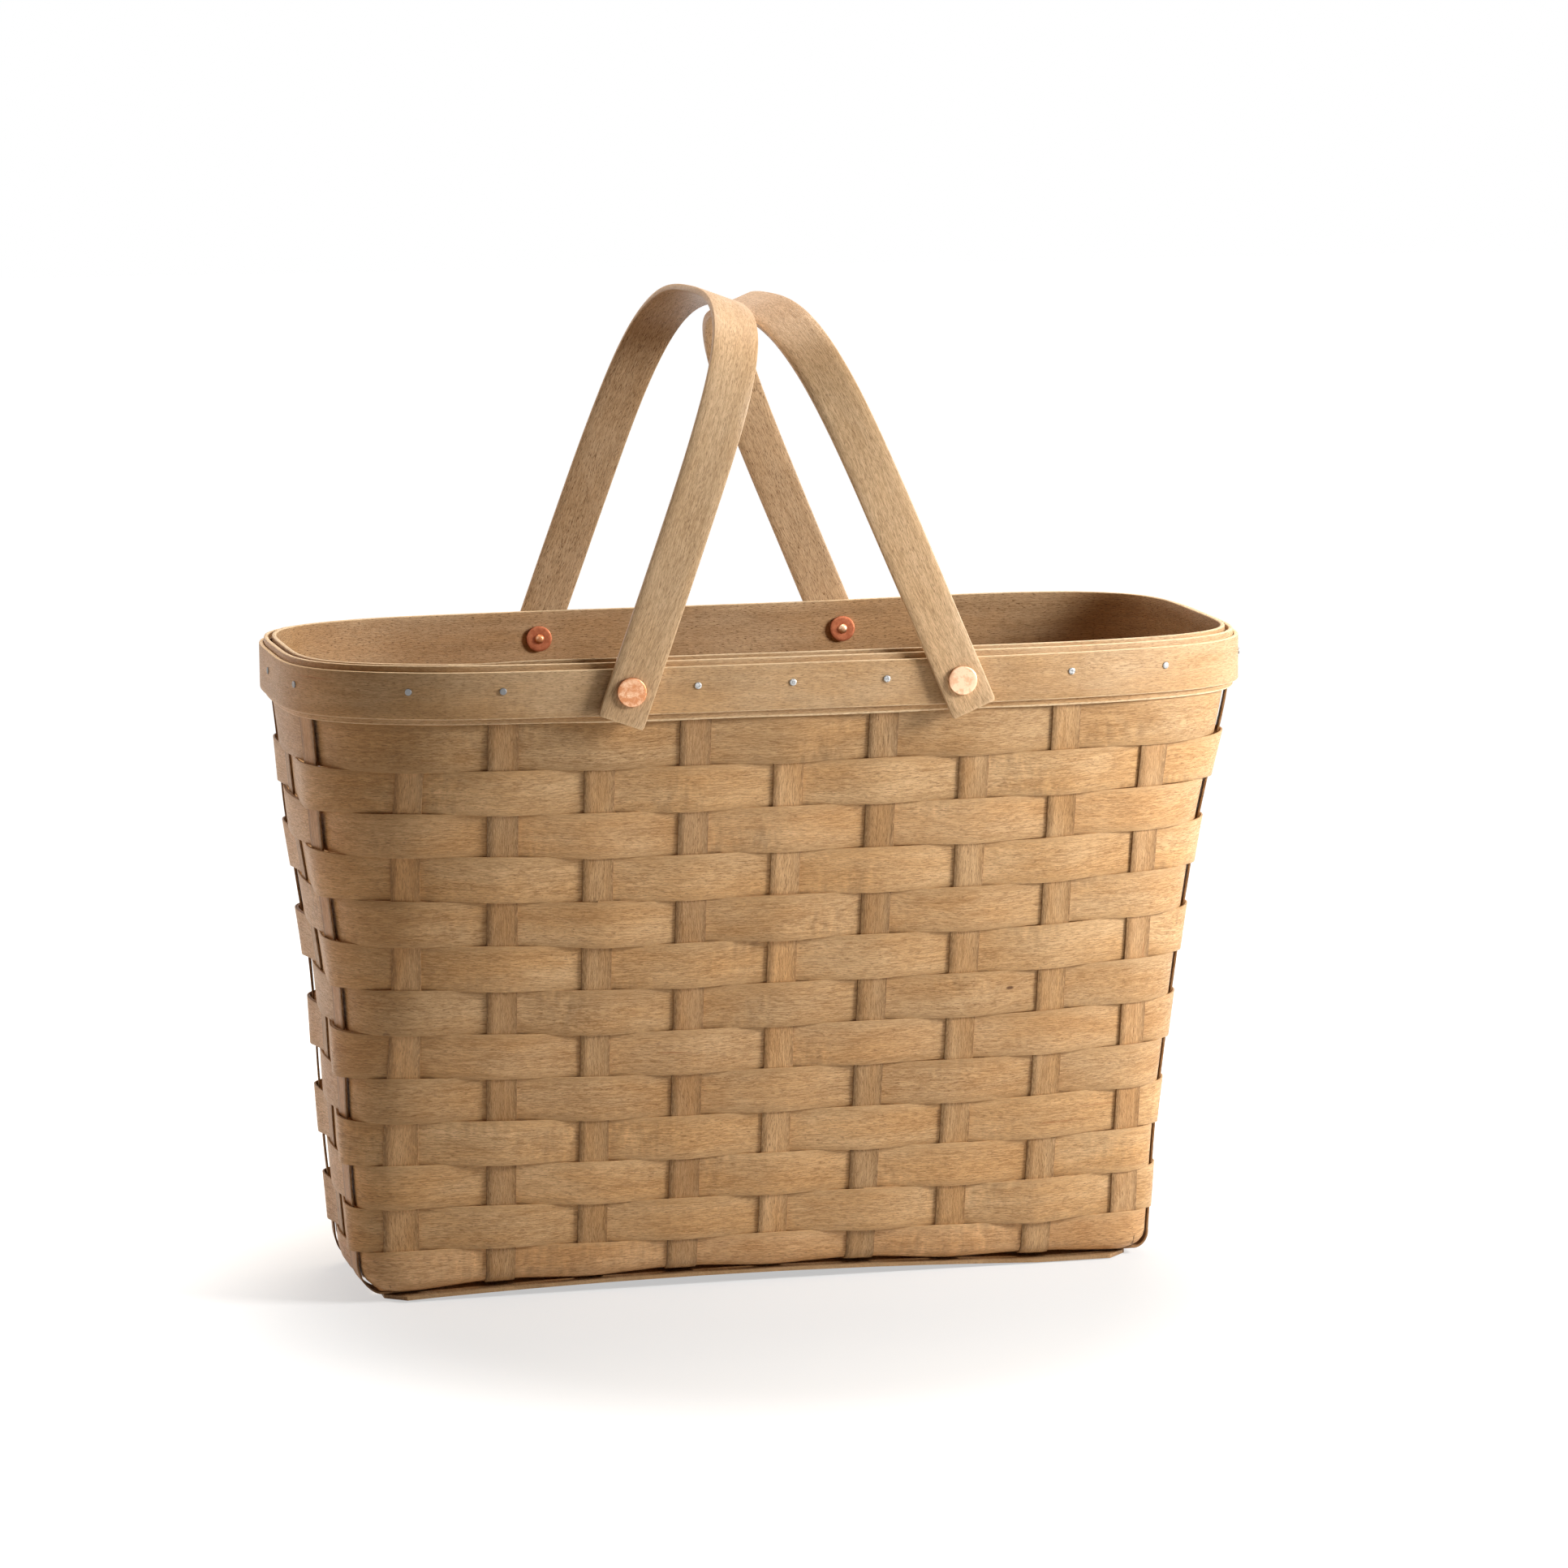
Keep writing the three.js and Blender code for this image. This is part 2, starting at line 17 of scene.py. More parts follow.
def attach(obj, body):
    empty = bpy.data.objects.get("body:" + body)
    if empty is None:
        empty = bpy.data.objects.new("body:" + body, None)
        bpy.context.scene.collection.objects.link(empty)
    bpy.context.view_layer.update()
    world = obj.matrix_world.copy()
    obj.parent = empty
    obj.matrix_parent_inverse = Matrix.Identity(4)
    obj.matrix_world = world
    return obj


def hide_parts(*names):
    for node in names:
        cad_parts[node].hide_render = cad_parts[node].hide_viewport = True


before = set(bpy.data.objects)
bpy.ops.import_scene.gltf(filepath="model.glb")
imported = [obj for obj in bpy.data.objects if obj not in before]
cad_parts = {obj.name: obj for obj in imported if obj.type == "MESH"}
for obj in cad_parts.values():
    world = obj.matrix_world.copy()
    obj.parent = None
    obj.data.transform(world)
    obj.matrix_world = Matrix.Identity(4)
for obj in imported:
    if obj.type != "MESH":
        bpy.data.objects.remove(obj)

Array = np.ndarray
Object = bpy.types.Object
Material = bpy.types.Material
Node = bpy.types.Node
Socket = bpy.types.NodeSocket
Tree = bpy.types.NodeTree
Colour = tuple[float, float, float]
Zone = tuple[float, float]

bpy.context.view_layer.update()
METRE = 0.001
# The step up and down that gives a wall's slope, and the least radius of a turned piece, in millimetres
PROBE = 0.05
AXIS_RADIUS = 0.02
LOG = logging.getLogger("tote_basket")


class Body(Enum):
    """The moving bodies that pieces ride on."""

    BASKET = "basket"
    LEFT_HANDLE = "left_handle"
    RIGHT_HANDLE = "right_handle"


def blend(low: Array, high: Array, share: Array) -> Array:
    """Returns the value a share of the way from low to high."""
    return low + (high - low) * share


def ease(low: float, high: float, value: Array) -> Array:
    """Returns a smooth step that is 0 below low and 1 above high."""
    t = np.clip((np.asarray(value, float) - low) / (high - low), 0, 1)
    return t * t * (3 - 2 * t)


def swell(rise: Zone, fall: Zone, value: Array) -> Array:
    """Returns a smooth hump: it rises from 0 to 1 over one zone and falls back over the other."""
    return ease(*rise, value) * (1 - ease(*fall, value))


def unit(vectors: Array) -> Array:
    """Returns the vectors along the last axis at length one."""
    return vectors / np.maximum(np.linalg.norm(vectors, axis=-1, keepdims=True), 1e-12)


def arc_length(points: Array) -> Array:
    """Returns the length run along a line of points, 0 at the first."""
    return np.append(0, np.cumsum(np.linalg.norm(np.diff(points, axis=0), axis=1)))


def sideways(out: Array) -> Array:
    """Returns plan directions turned a quarter, so that they run round the basket."""
    return np.stack([-out[..., 1], out[..., 0], 0 * out[..., 0]], -1)


def placed(side: Array, up: Array, back: Array, place: Array) -> Matrix:
    """Works out the matrix that turns X, Y and Z to three directions and moves the origin to a place.

    Args:
        side: Where X goes.
        up: Where Y goes.
        back: Where Z goes.
        place: Where the origin goes.

    Returns:
        The matrix.
    """
    turn = np.eye(4)
    turn[:3] = np.stack([side, up, back, place], -1)
    return Matrix(turn.tolist())


@dataclass(frozen=True)
class Sway:
    """Unevenness of handwork along a piece: a few sine waves of seeded phase and strength."""

    amount: float
    seed: int
    waves: tuple[int, ...]

    def along(self, arc: Array, span: float, number: int = 0) -> Array:
        """Works out the unevenness as a sum of sines, each longer wave stronger than the next.

        Args:
            arc: Place along the piece.
            span: Length that a wave of 1 fills.
            number: Tells pieces of one kind apart.

        Returns:
            Values of about plus or minus the amount, one for each place.
        """
        rng = np.random.default_rng(self.seed + number)
        waves = np.array(self.waves)
        phases = rng.uniform(0, 2 * np.pi, len(waves))
        strengths = rng.uniform(0.5, 1, len(waves)) / np.sqrt(waves)
        turns = 2 * np.pi * np.multiply.outer(np.asarray(arc) / span, waves) + phases
        return self.amount * ((np.sin(turns) * strengths).sum(-1) / strengths.sum())


# The form of the basket


@dataclass(frozen=True)
class Line:
    """One line up the wall that a stake follows: its side of the basket and its place there."""

    across: bool
    side: int
    step: float


@dataclass(frozen=True)
class Handwork:
    """How the hand-made basket departs from its even form.

    A zone is where a change begins and where it is complete: along the basket for the corners
    and the climbs, across it for the back corner, and up from the floor for the others.
    """

    corners: Zone = (140.0, 178.0)
    rim_drift: float = 3.8
    rim_zone: Zone = (195.0, 266.0)
    left_draw: float = 0.6
    left_draw_zone: Zone = (90.0, 150.0)
    left_bulge: float = 5.0
    left_bulge_rise: Zone = (0.0, 14.0)
    left_bulge_fall: Zone = (45.0, 150.0)
    right_bulge: float = 0.7
    right_bulge_zone: Zone = (0.0, 60.0)
    right_draw: float = 1.0
    right_draw_rise: Zone = (20.0, 70.0)
    right_draw_fall: Zone = (150.0, 215.0)
    left_climb: float = 3.1
    left_climb_zone: Zone = (50.0, 165.0)
    right_climb: float = 1.8
    right_climb_zone: Zone = (90.0, 165.0)
    climb_rise: Zone = (0.0, 17.0)
    climb_fall: Zone = (190.0, 252.0)
    back_lift: float = 2.4
    back_lift_along: Zone = (40.0, 190.0)
    back_lift_across: Zone = (-60.0, 90.0)
    back_lift_up: Zone = (200.0, 262.0)
    bow: float = 3.6
    bow_middle: float = -25.0
    bow_reach: float = 150.0
    bow_height: float = 46.0
    bow_power: float = 1.3

    def settle(self, points: Array) -> Array:
        """Moves points to where the hand-made basket has them.

        The rim sits a little to the right, the left end bulges towards its foot, the rows climb
        towards both ends, the back corner at the right stands higher, and the middle of the foot
        is bowed up. Each is a product of smooth steps of the place and the height.

        Args:
            points: Points of the even form, any shape by 3.

        Returns:
            The moved points.
        """
        x, y, z = points[..., 0], points[..., 1], points[..., 2]
        left, right = ease(*self.corners, -x), ease(*self.corners, x)
        aside = (left + right) * self.rim_drift * ease(*self.rim_zone, z)
        aside = aside + left * (self.left_draw * ease(*self.left_draw_zone, z)
                                - self.left_bulge * swell(self.left_bulge_rise, self.left_bulge_fall, z))
        aside = aside + right * (self.right_bulge * (1 - ease(*self.right_bulge_zone, z))
                                 - self.right_draw * swell(self.right_draw_rise, self.right_draw_fall, z))
        climb = self.left_climb * ease(*self.left_climb_zone, -x)
        climb = climb + self.right_climb * ease(*self.right_climb_zone, x)
        corner = ease(*self.back_lift_along, x) * ease(*self.back_lift_across, y)
        corner = corner * ease(*self.back_lift_up, z)
        arch = np.clip(1 - ((x - self.bow_middle) / self.bow_reach) ** 2, 0, 1)
        fade = np.exp(-((np.clip(z, 0, None) / self.bow_height) ** self.bow_power))
        lift = climb * swell(self.climb_rise, self.climb_fall, z)
        lift = lift + self.back_lift * corner + self.bow * arch * fade
        return points + np.stack([aside, 0 * lift, lift], -1)


@dataclass(frozen=True)
class BasketForm:
    """The woven body's shape: rounded rectangles that widen from the foot to the rim."""

    rim_half_length: float = 217.0
    rim_half_depth: float = 112.5
    rim_top: float = 288.5
    band_height: float = 25.4
    end_flare: float = 38.0
    side_flare: float = 67.0
    rim_power: float = 3.9
    foot_power: float = 12.0
    flare_power: float = 1.35
    heel_radius: float = 6.0
    stake_width: float = 13.2
    stake_thickness: float = 1.1
    band_thickness: float = 2.0
    clearance: float = 0.3
    board_thickness: float = 2.2
    across_count: int = 9
    end_count: int = 3
    end_rim_pitch: float = 54.0
    rim_shift: float = -1.5
    foot_shift: float = 1.2
    foot_gather: float = 0.68
    foot_shift_power: float = 1.2
    handwork: Handwork = Handwork()

    @property
    def wall_top(self) -> float:
        """Height of the bands' lower edge."""
        return self.rim_top - self.band_height

    @property
    def wide_offset(self) -> float:
        """From the wall's middle surface out to the middle of the wide band."""
        return self.stake_thickness / 2 + self.clearance + self.band_thickness / 2

    @property
    def narrow_offset(self) -> float:
        """From the wall's middle surface out to the middle of the narrow band."""
        return self.wide_offset + self.band_thickness + self.clearance

    @property
    def rim_outer(self) -> float:
        """From the wall's middle surface out to the rim's outer face."""
        return self.narrow_offset + self.band_thickness / 2

    @property
    def foot_half_length(self) -> float:
        """Half length of the woven body at the foot."""
        return self.rim_half_length - self.end_flare

    @property
    def foot_half_depth(self) -> float:
        """Half depth of the woven body at the foot."""
        return self.rim_half_depth - self.side_flare

    @property
    def crossing_lift(self) -> float:
        """How far a lengthwise stake lies above or below a cross stake."""
        return self.stake_thickness + self.clearance

    @property
    def floor_level(self) -> float:
        """Height of the cross stakes' middle where they pass under the basket."""
        return self.board_thickness + self.clearance + self.stake_thickness / 2 + self.crossing_lift

    @property
    def heel_top(self) -> float:
        """Height at which the wall begins to turn under."""
        return self.floor_level + self.heel_radius

    @property
    def heel_end(self) -> float:
        """Level at which a stake lies flat, counted along its own run."""
        return self.heel_top - self.heel_radius * math.pi / 2

    @property
    def line_count(self) -> int:
        """How many lines there are round the basket: each stake follows two."""
        return 2 * (self.across_count + self.end_count)

    @property
    def outer_step(self) -> float:
        """Steps from the basket's middle to its outermost cross stake."""
        return (self.across_count - 1) / 2

    @property
    def stake_pitch(self) -> float:
        """From one cross stake to the next."""
        reach = self.foot_half_length - self.heel_radius - self.stake_width / 2 - self.clearance
        return 2 * reach / (self.across_count - 1)

    @property
    def end_foot_pitch(self) -> float:
        """From one lengthwise stake to the next, under the basket.

        Returns:
            The pitch that fits them all within the flat part at the outermost cross stake.
        """
        half_long, half_deep, power = self.outline(self.floor_level)
        edge = self.across_at(self.stake_pitch * self.outer_step, half_long, half_deep, power)
        flat = edge - self.heel_radius
        return float(2 * (flat - self.stake_width / 2 - self.clearance) / (self.end_count - 1))

    def rise_share(self, height: Array) -> Array:
        """Share of the way from the foot to the rim bands' lower edge."""
        return np.clip(np.asarray(height, float) / self.wall_top, 0, 1)

    def outline(self, height: Array) -> tuple[Array, Array, Array]:
        """Size and roundness of the rounded rectangle at a height.

        The half depth grows evenly, the half length a little faster near the rim, and the
        corner power eases from square at the foot to round at the rim.

        Args:
            height: Height above the floor.

        Returns:
            Half length, half depth and corner power.
        """
        share = self.rise_share(height)
        long_top, deep_top = self.rim_half_length - self.rim_outer, self.rim_half_depth - self.rim_outer
        half_long = blend(self.foot_half_length, long_top, share**self.flare_power)
        half_deep = blend(self.foot_half_depth, deep_top, share)
        return half_long, half_deep, 1 / blend(1 / self.foot_power, 1 / self.rim_power, share)

    @staticmethod
    def across_at(place: Array, along: Array, across: Array, power: Array) -> Array:
        """Half size across a rounded rectangle: across times (1 - |place/along|^power)^(1/power)."""
        return across * np.maximum(1 - np.abs(place / along) ** power, 0) ** (1 / power)

    @staticmethod
    def outward(u: Array, v: Array, half_long: Array, half_deep: Array, power: Array) -> Array:
        """Outward directions in plan: the slope of |u|^power + |v|^power along x and y.

        Args:
            u: x as a share of the half length.
            v: y as a share of the half depth.
            half_long: Half length of the outline.
            half_deep: Half depth of the outline.
            power: Its corner power.

        Returns:
            Directions of length one.
        """
        slope_x = np.sign(u) * np.abs(u) ** (power - 1) / half_long
        slope_y = np.sign(v) * np.abs(v) ** (power - 1) / half_deep
        return unit(np.stack([slope_x, slope_y, 0 * slope_x], -1))

    def station(self, level: Array) -> tuple[Array, Array, Array]:
        """Place on the wall's upright section.

        Above the heel the level is the height. Below, it runs round a quarter circle, and the
        inset and the height are that circle's.

        Args:
            level: Height, or length run round the heel below its top.

        Returns:
            Height, inset from the outline, and the share of the quarter turn done.
        """
        level = np.asarray(level, float)
        turn = np.clip((self.heel_top - level) / self.heel_radius, 0, math.pi / 2)
        height = np.where(level >= self.heel_top, level, self.heel_top - self.heel_radius * np.sin(turn))
        return height, self.heel_radius * (1 - np.cos(turn)), turn / (math.pi / 2)

    def drift(self, step: float, level: Array) -> Array:
        """How far a front or back stake stands aside of its even place.

        Args:
            step: The stake's steps from the basket's middle.
            level: Levels up the wall.

        Returns:
            The distance along X, which eases from the foot's to the rim's.
        """
        share = self.rise_share(level)
        foot = self.foot_shift - self.foot_gather * step
        return self.rim_shift * share + foot * (1 - share) ** self.foot_shift_power

    def lines(self) -> list[Line]:
        """The lines that stakes follow.

        Returns:
            Lines in order round the basket, from the front left.
        """
        end = (self.end_count - 1) / 2
        front = [Line(True, -1, i - self.outer_step) for i in range(self.across_count)]
        right = [Line(False, 1, j - end) for j in range(self.end_count)]
        back = [Line(True, 1, self.outer_step - i) for i in range(self.across_count)]
        left = [Line(False, -1, end - j) for j in range(self.end_count)]
        return front + right + back + left

    def corner_lines(self) -> Array:
        """Numbers of the lines next to the corners: the first and last ones of each end."""
        right, left = self.across_count, 2 * self.across_count + self.end_count
        return np.array([right, right + self.end_count - 1, left, left + self.end_count - 1])

    def on_line(self, line: Line, level: Array) -> Array:
        """Points of the wall's middle surface on a stake's line.

        Args:
            line: The line.
            level: Levels up the wall.

        Returns:
            Points, one for each level.
        """
        height, inset, _ = self.station(level)
        half_long, half_deep, power = self.outline(height)
        if line.across:
            x = line.step * self.stake_pitch + self.drift(line.step, level)
            y = line.side * (self.across_at(x, half_long, half_deep, power) - inset)
            return np.stack([x + 0 * height, y, height], -1)
        y = line.step * blend(self.end_foot_pitch, self.end_rim_pitch, self.rise_share(height))
        x = line.side * (self.across_at(y, half_deep, half_long, power) - inset)
        return np.stack([x, y, height], -1)

    def ratios(self, line: Line, level: Array) -> tuple[Array, Array]:
        """A line's place on the outline, before the heel draws it in.

        Args:
            line: The line.
            level: Levels up the wall.

        Returns:
            x as a share of the half length and y as a share of the half depth, at each level.
        """
        half_long, half_deep, power = self.outline(self.station(level)[0])
        point = self.on_line(line, level)
        if line.across:
            x = point[..., 0]
            return x / half_long, line.side * self.across_at(x, half_long, half_deep, power) / half_deep
        y = point[..., 1]
        return line.side * self.across_at(y, half_deep, half_long, power) / half_long, y / half_deep

    def bearing(self, line: Line, level: float) -> float:
        """Direction of a line's point, as the angle of (x / half length, y / half depth)."""
        u, v = self.ratios(line, level)
        return math.atan2(float(v), float(u))

    def bearings(self, level: float) -> Array:
        """Bearings of all lines at a level, rising round the basket, with the first one again at the end."""
        found = np.unwrap([self.bearing(line, level) for line in self.lines()])
        return np.append(found, found[0] + 2 * np.pi)

    def at_bearing(self, bearing: Array, level: Array) -> tuple[Array, Array]:
        """Points of the wall and their outward directions in plan.

        The outline at a bearing is (cos, sin) over the power norm of both, scaled by the half
        sizes.

        Args:
            bearing: Angles round the basket.
            level: Levels up the wall, one for each angle.

        Returns:
            Points and outward directions.
        """
        height, inset, _ = self.station(level)
        half_long, half_deep, power = self.outline(height)
        c, s = np.cos(bearing), np.sin(bearing)
        norm = (np.abs(c) ** power + np.abs(s) ** power) ** (1 / power)
        u, v = c / norm, s / norm
        out = self.outward(u, v, half_long, half_deep, power)
        point = np.stack([u * half_long, v * half_deep, height + 0 * u], -1)
        return point - out * np.asarray(inset)[..., None], out

    def wall(self, bearing: Array, level: Array) -> tuple[Array, Array]:
        """Points of the wall's middle surface and its outward normals.

        The normal is the cross product of the direction round the basket and the rise, which is
        measured between a point a little above and one a little below.

        Args:
            bearing: Angles round the basket.
            level: Levels up the wall, one for each angle.

        Returns:
            Points and normals.
        """
        point, out = self.at_bearing(bearing, level)
        above, _ = self.at_bearing(bearing, level + PROBE)
        below, _ = self.at_bearing(bearing, level - PROBE)
        return point, unit(np.cross(sideways(out), unit(above - below)))


# Meshes


@dataclass(frozen=True)
class Section:
    """A strip's cross-section: a rectangle with rounded edges, as (across, out) pairs in a loop."""

    width: float
    thickness: float
    edge: float
    face_steps: int = 4

    def loop(self) -> Array:
        """Works out the loop: the outer face, one edge's two arcs, the inner face and the other edge.

        Returns:
            Pairs, counter-clockwise seen from the strip's start.
        """
        w, t, r = self.width / 2, self.thickness / 2, min(self.edge, self.thickness / 2 - 0.02)
        face = np.linspace(-(w - r), w - r, self.face_steps + 1)
        turn = np.linspace(0, np.pi / 2, 3)[1:]
        outer = [(v, t) for v in face]
        down = [(w - r + r * math.sin(a), t - r + r * math.cos(a)) for a in turn]
        lower = [(w - r + r * math.cos(a), -(t - r) - r * math.sin(a)) for a in [0.0, *turn]]
        inner = [(v, -t) for v in face[::-1][1:]]
        back = [(-(w - r) - r * math.sin(a), -(t - r) - r * math.cos(a)) for a in turn]
        up = [(-(w - r) - r * math.cos(a), t - r + r * math.sin(a)) for a in [0.0, *turn[:-1]]]
        return np.array(outer + down + lower + inner + back + up)


@dataclass(frozen=True)
class Tone:
    """One strip's own cast of colour: lightness and warmth about zero, and greyness from zero up."""

    light: float = 0.0
    warm: float = 0.0
    grey: float = 0.0

    @staticmethod
    def drawn(seed: int, light: float = 0.0, warm: float = 0.0, grey: float = 0.0) -> "Tone":
        """A tone near the given one, drawn from a seed."""
        rng = np.random.default_rng(9000 + seed)
        return Tone(light + rng.normal(0, 0.065), warm + rng.normal(0, 0.32), grey + rng.uniform(0, 0.12))


class MeshMaker:
    """Turns arrays of points into finished mesh objects."""

    side_edge: Zone = (0.55, 0.1)
    end_edge: Zone = (0.3, 0.05)

    @staticmethod
    def make(name: str, points: Array, faces: list, attributes: dict[str, Array], smooth: float) -> Object:
        """Makes an object from points in millimetres.

        Args:
            name: The piece's name.
            points: Vertices, n by 3.
            faces: Lists of vertex numbers, counter-clockwise from outside.
            attributes: Values per vertex, n by 3 or n.
            smooth: Angle in degrees above which an edge stays sharp.

        Returns:
            The new object, at the origin.
        """
        mesh = bpy.data.meshes.new(name)
        mesh.from_pydata((points * METRE).tolist(), [], faces)
        for key, values in attributes.items():
            flat = values.ndim == 1
            layer = mesh.attributes.new(key, "FLOAT" if flat else "FLOAT_VECTOR", "POINT")
            layer.data.foreach_set("value" if flat else "vector", values.astype(np.float32).ravel())
        mesh.shade_smooth()
        mesh.set_sharp_from_angle(angle=math.radians(smooth))
        mesh.validate()
        piece = bpy.data.objects.new(name, mesh)
        bpy.context.scene.collection.objects.link(piece)
        return piece

    @staticmethod
    def ring_faces(rings: Array, middle: Array) -> list:
        """Faces between rings of equal size, one after another, with flat ends.

        They are all turned over where the pyramids from the middle to the quads add up to a
        negative volume.

        Args:
            rings: Points, path by section by 3.
            middle: Where the pyramids meet.

        Returns:
            Lists of vertex numbers, counter-clockwise from outside.
        """
        count, size = rings.shape[:2]
        here = np.arange(count - 1)[:, None] * size
        cols = np.arange(size)[None, :]
        next_cols = (cols + 1) % size
        quads = np.stack([here + cols, here + size + cols, here + size + next_cols, here + next_cols], -1)
        quads = quads.reshape(-1, 4)
        corner = rings.reshape(-1, 3)[quads] - middle
        spans = np.cross(corner[:, 1], corner[:, 2]) + np.cross(corner[:, 2], corner[:, 3])
        faces = quads.tolist() + [list(range(size)), list(range((count - 1) * size, count * size))[::-1]]
        turned = np.einsum("ij,ij->i", corner[:, 0], spans).sum() < 0
        return [face[::-1] for face in faces] if turned else faces

    @staticmethod
    def places(arc: Array, section: Array) -> Array:
        """Place along, across and out of a strip: its arc, with each pair of its section."""
        return np.stack(np.broadcast_arrays(arc[:, None], section[:, 0], section[:, 1]), -1)

    @classmethod
    def strip(cls, name: str, rings: Array, local: Array, tone: Tone, seed: int) -> Object:
        """Makes a strip from rings of points.

        Args:
            name: The piece's name.
            rings: Points, path by section by 3, in millimetres.
            local: Place along, across and out of the strip, path by section by 3, in millimetres.
            tone: The strip's own colour cast.
            seed: Moves the grain so that no two strips are alike.

        Returns:
            The new object, its faces turned outwards.
        """
        flat = local.reshape(-1, 3)
        along, across = flat[:, 0], np.abs(flat[:, 1])
        # The edge mask carries the cut wood's edge colour, and painted shade on the stakes and a painted
        # highlight on the rim
        (wide, fine), (far, near) = cls.side_edge, cls.end_edge
        edge = ease(across.max() - wide, across.max() - fine, across)
        edge = np.maximum(edge, ease(along.max() - far, along.max() - near, along))
        edge = np.maximum(edge, 1 - ease(along.min() + near, along.min() + far, along))
        rng = np.random.default_rng(seed)
        shift = np.array([rng.uniform(0, 40), rng.uniform(0, 4), 0])
        attributes = {
            "strip": flat * METRE + shift,
            "cast": np.tile([tone.light, tone.warm, tone.grey], (len(flat), 1)),
            "edge_tone_and_painted_light": edge,
            "inner_face": ease(0, np.abs(flat[:, 2]).max(), -flat[:, 2]),
        }
        return cls.make(name, rings.reshape(-1, 3), cls.ring_faces(rings, np.zeros(3)), attributes, 40)

    @classmethod
    def turned(cls, name: str, profile: Array, facets: int, place: Array, axis: Array,
               polish_and_painted_light: float = 0.0) -> Object:
        """Makes a turned piece: each profile pair (radius, along) goes round the axis through the place.

        Args:
            name: The piece's name.
            profile: Pairs in millimetres, from one end of the axis to the other.
            facets: Corners round.
            place: Where the axis starts.
            axis: Direction of the axis.
            polish_and_painted_light: How much brighter and smoother than usual the metal is; its brightness
                is painted light, a highlight on the right rivets and shade on the left ones and the left
                nails.

        Returns:
            The new object.
        """
        axis = unit(np.asarray(axis, float))
        side = unit(np.cross(axis, [0.0, 0.0, 1.0]))
        up = np.cross(axis, side)
        around = np.linspace(0, 2 * np.pi, facets, endpoint=False)
        spokes = np.cos(around)[:, None] * side + np.sin(around)[:, None] * up
        radius, along = profile[:, 0], profile[:, 1]
        rings = place + along[:, None, None] * axis + radius[:, None, None] * spokes[None]
        polish_and_painted_light_values = {"polish_and_painted_light": np.full(len(profile) * facets, polish_and_painted_light)}
        return cls.make(name, rings.reshape(-1, 3), cls.ring_faces(rings, place), polish_and_painted_light_values, 35)


# Finishes


class SocketKind(Enum):
    """What a node group's socket carries."""

    NUMBER = "NodeSocketFloat"
    VECTOR = "NodeSocketVector"
    COLOUR = "NodeSocketColor"


